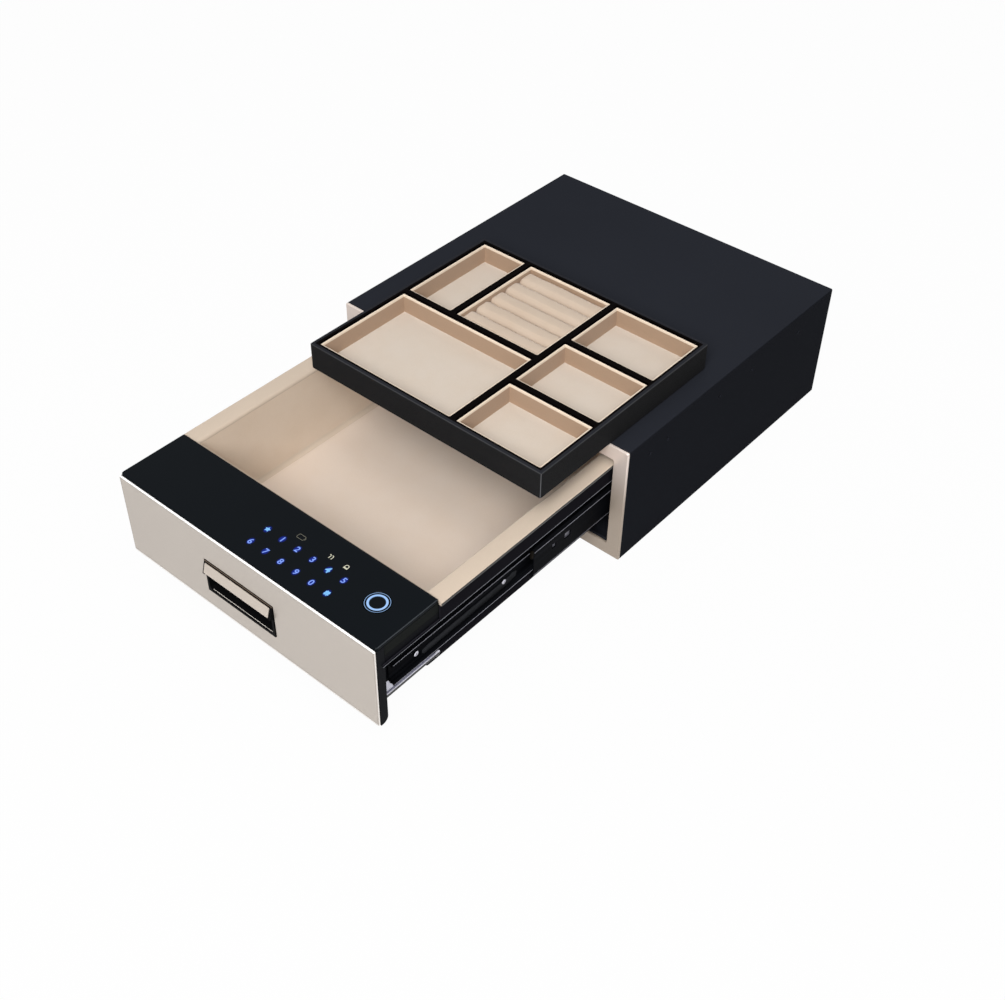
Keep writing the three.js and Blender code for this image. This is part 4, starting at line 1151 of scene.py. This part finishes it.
def sign_mesh(text, x, y, bold):
    """A character as a thin closed mesh, centred on its place."""
    curve = bpy.data.curves.new("sign", "FONT")
    curve.body = text
    curve.extrude = KEYS["thick"] / 2 * MM
    curve.size = KEYS["height"] * MM / SIGNS["capital"]
    curve.offset = bold * MM
    curve.resolution_u = 4
    source = placed("sign", curve)
    mesh = evaluated(source)
    bpy.data.objects.remove(source)
    low = Vector(min(v.co[i] for v in mesh.vertices) for i in range(3))
    high = Vector(max(v.co[i] for v in mesh.vertices) for i in range(3))
    place = Vector((x, y, glass_top + KEYS["thick"] / 2)) * MM
    mesh.transform(Matrix.Translation(place - (low + high) / 2))
    return mesh


def joined(meshes):
    """Several meshes as one."""
    work = bmesh.new()
    for mesh in meshes:
        work.from_mesh(mesh)
    bmesh.ops.remove_doubles(work, verts=work.verts, dist=1e-7)
    mesh = bpy.data.meshes.new("joined")
    work.to_mesh(mesh)
    work.free()
    return mesh


def stroke(path, width, closed=False):
    """A flat stroke of even width along a path of (x, y) points on the glass."""
    last = len(path) - 1
    rings = []
    for i, (x, y) in enumerate(path):
        ax, ay = path[i - 1] if i or closed else path[0]
        bx, by = path[(i + 1) % len(path)] if i < last or closed else path[last]
        along = Vector((bx - ax, by - ay)).normalized() * width / 2
        left, right = (x - along.y, y + along.x), (x + along.y, y - along.x)
        rings.append([(*left, glass_top), (*right, glass_top), (*right, sign_top), (*left, sign_top)])
    if closed:
        rings.append(rings[0])
    return skin(rings, caps=not closed)


def drawn_signs():
    """The star and the hash, drawn heavy, as their glow fills them in."""
    x, y = KEYS["x"][0], KEYS["rear"][1]
    turns = [math.radians(90 + 36 * i) for i in range(10)]
    star = [(x + r * math.cos(a), y + r * math.sin(a)) for a, r in zip(turns, 5 * SIGNS["star"])]
    parts = [skin([[(px, py, z) for px, py in star] for z in (glass_top, sign_top)])]
    x, y = KEYS["x"][-1], KEYS["front"][1]
    for by in (-0.95, 0.95):
        level = [(x - 2.3, y + by), (x + 2.3, y + by)]
        slanted = [(x + by - 0.3, y - 2.6), (x + by + 0.3, y + 2.6)]
        parts += [stroke(path, SIGNS["heavy"]) for path in (level, slanted)]
    piece("keys_drawn", merged(parts), "cyan", "drawer", smooth=10)


def key_signs():
    """Each key is a lit character, and the 4 is the bright one."""
    blue, cyan = [], []
    for text, y in (KEYS["rear"], KEYS["front"]):
        for x, sign in zip(KEYS["x"], text):
            if sign == "4":
                cyan.append(sign_mesh(sign, x, y, KEYS["bold"] * 2.5))
            elif sign not in "*#":
                blue.append(sign_mesh(sign, x, y, KEYS["bold"]))
    finished("keys_blue", joined(blue), "blue", "drawer")
    finished("keys_cyan", joined(cyan), "cyan", "drawer")
    drawn_signs()


def status_signs():
    """Drawn signs behind the keys: a battery, a wave of two strokes and a padlock."""
    thin, width, heavy = SIGNS["thin"], SIGNS["stroke"], SIGNS["heavy"]
    x, y = SIGNS["battery"]
    can = ring(x - 4.2, y - 2.3, x + 3.4, y + 2.3, 0, 0.9, turns=4, sides=(2, 2))
    parts = [
        stroke([(px, py) for px, py, _ in can], thin, closed=True),
        stroke([(x + 4.3, y - 1), (x + 4.3, y + 1)], thin),
    ]
    piece("battery_sign", merged(parts), "dim", "drawer", smooth=10)

    x, y = SIGNS["wave"]
    hook = ((0.6, -2.3), (0.6, 1.0), (0, 1.8), (-1.1, 1.8))
    parts = [stroke([(x + dx + px, y + py) for px, py in hook], width) for dx in (-1.2, 1.5)]
    x, y = SIGNS["padlock"]
    parts.append(stroke([(x - 2.2, y - 1.5), (x + 2.2, y - 1.5)], heavy))
    shackle = [(x + px, y + py) for px, py in arc(0, 0.4, 1.75, 0, 180, 8)]
    parts.append(stroke([(x + 1.75, y - 1), *shackle, (x - 1.75, y - 1)], width))
    piece("status_signs", merged(parts), "cream", "drawer", smooth=10)


key_signs()
status_signs()


# Camera, lights and room, in metres

CAMERA = {
    "place": (0.68285, -0.95235, 0.9156), "turn": 39.83, "tilt": 42.34, "roll": 1.12,
    "focal_pixels": 1387.8, "photo_width": 1005, "sensor_mm": 36,
}
LAMPS = {
    "key": {"place": (0.87, -1.66, 1.65), "size": 1.3, "power": 52},
    "top": {"place": (0.2, -0.5, 2.2), "size": 1.6, "power": 11},
    "back": {"place": (-0.6, 1.5, 1.9), "size": 1.4, "power": 3},
}
AIM = (0, -0.15, 0.08)
AMBIENT = 0.35      # the world's strength on the object; what is seen directly is at 1
FLOOR = {"half": 12, "low": -0.0005, "grey": 0.55, "white": 0.97}


def camera():
    """The photograph's viewpoint, solved from its straight edges."""
    size = CAMERA
    turn, tilt, roll = (math.radians(size[key]) for key in ("turn", "tilt", "roll"))
    data = bpy.data.cameras.new("camera")
    data.sensor_fit = "HORIZONTAL"
    data.sensor_width = size["sensor_mm"]
    data.lens = size["focal_pixels"] / size["photo_width"] * size["sensor_mm"]
    made = placed("camera", data)
    level = Matrix.Rotation(turn, 4, "Z") @ Matrix.Rotation(math.pi / 2 - tilt, 4, "X")
    made.matrix_world = Matrix.Translation(size["place"]) @ level @ Matrix.Rotation(roll, 4, "Z")
    bpy.context.scene.camera = made


def lamp(name, place, size, power):
    """A round soft lamp that looks at the safe."""
    data = bpy.data.lights.new(name, "AREA")
    data.shape = "DISK"
    data.size = size
    data.energy = power
    made = placed(name, data)
    made.location = place
    made.rotation_euler = (Vector(AIM) - Vector(place)).to_track_quat("-Z", "Y").to_euler()


def seen_directly(tree):
    """1 for what the camera sees, also in metal and through glass."""
    path = tree.node("ShaderNodeLightPath").socket.node.outputs
    seen = [Wire(tree, path[f"Is {kind} Ray"]) for kind in ("Camera", "Glossy", "Transmission")]
    return tree.math("MINIMUM", sum(seen), 1)


def white_world():
    """Plain light from all round, seen as white."""
    world = bpy.data.worlds.new("studio")
    world.use_nodes = True
    bpy.context.scene.world = world
    tree = Tree(world.node_tree)
    background = world.node_tree.nodes["Background"].inputs
    tree.feed(background["Strength"], seen_directly(tree) * (1 - AMBIENT) + AMBIENT)
    tree.feed(background["Color"], "#FFFFFF")


def white_floor():
    """A floor that takes the shadow and is seen as nearly white."""
    mesh = bpy.data.meshes.new("floor")
    half, grey = FLOOR["half"], FLOOR["grey"]
    corners = [(-half, -half, 0), (half, -half, 0), (half, half, 0), (-half, half, 0)]
    mesh.from_pydata(corners, [], [(0, 1, 2, 3)])
    floor = placed("floor", mesh)
    floor.location.z = FLOOR["low"]
    cover = Finish("floor", "#FFFFFF", 0.9, specular_ior_level=0)
    cover.paint((grey, grey, grey, 1))
    plain = Wire(cover, cover.shader.outputs[0])
    white = cover.node("ShaderNodeEmission")
    factor = seen_directly(cover) * FLOOR["white"]
    mix = cover.node("ShaderNodeMixShader", None, {0: factor, 1: plain, 2: white})
    cover.feed(cover.tree.nodes["Material Output"].inputs["Surface"], mix)
    mesh.materials.append(cover.material)


camera()
for name, settings in LAMPS.items():
    lamp(name, **settings)
white_world()
white_floor()
bpy.context.scene.view_settings.view_transform = "Standard"
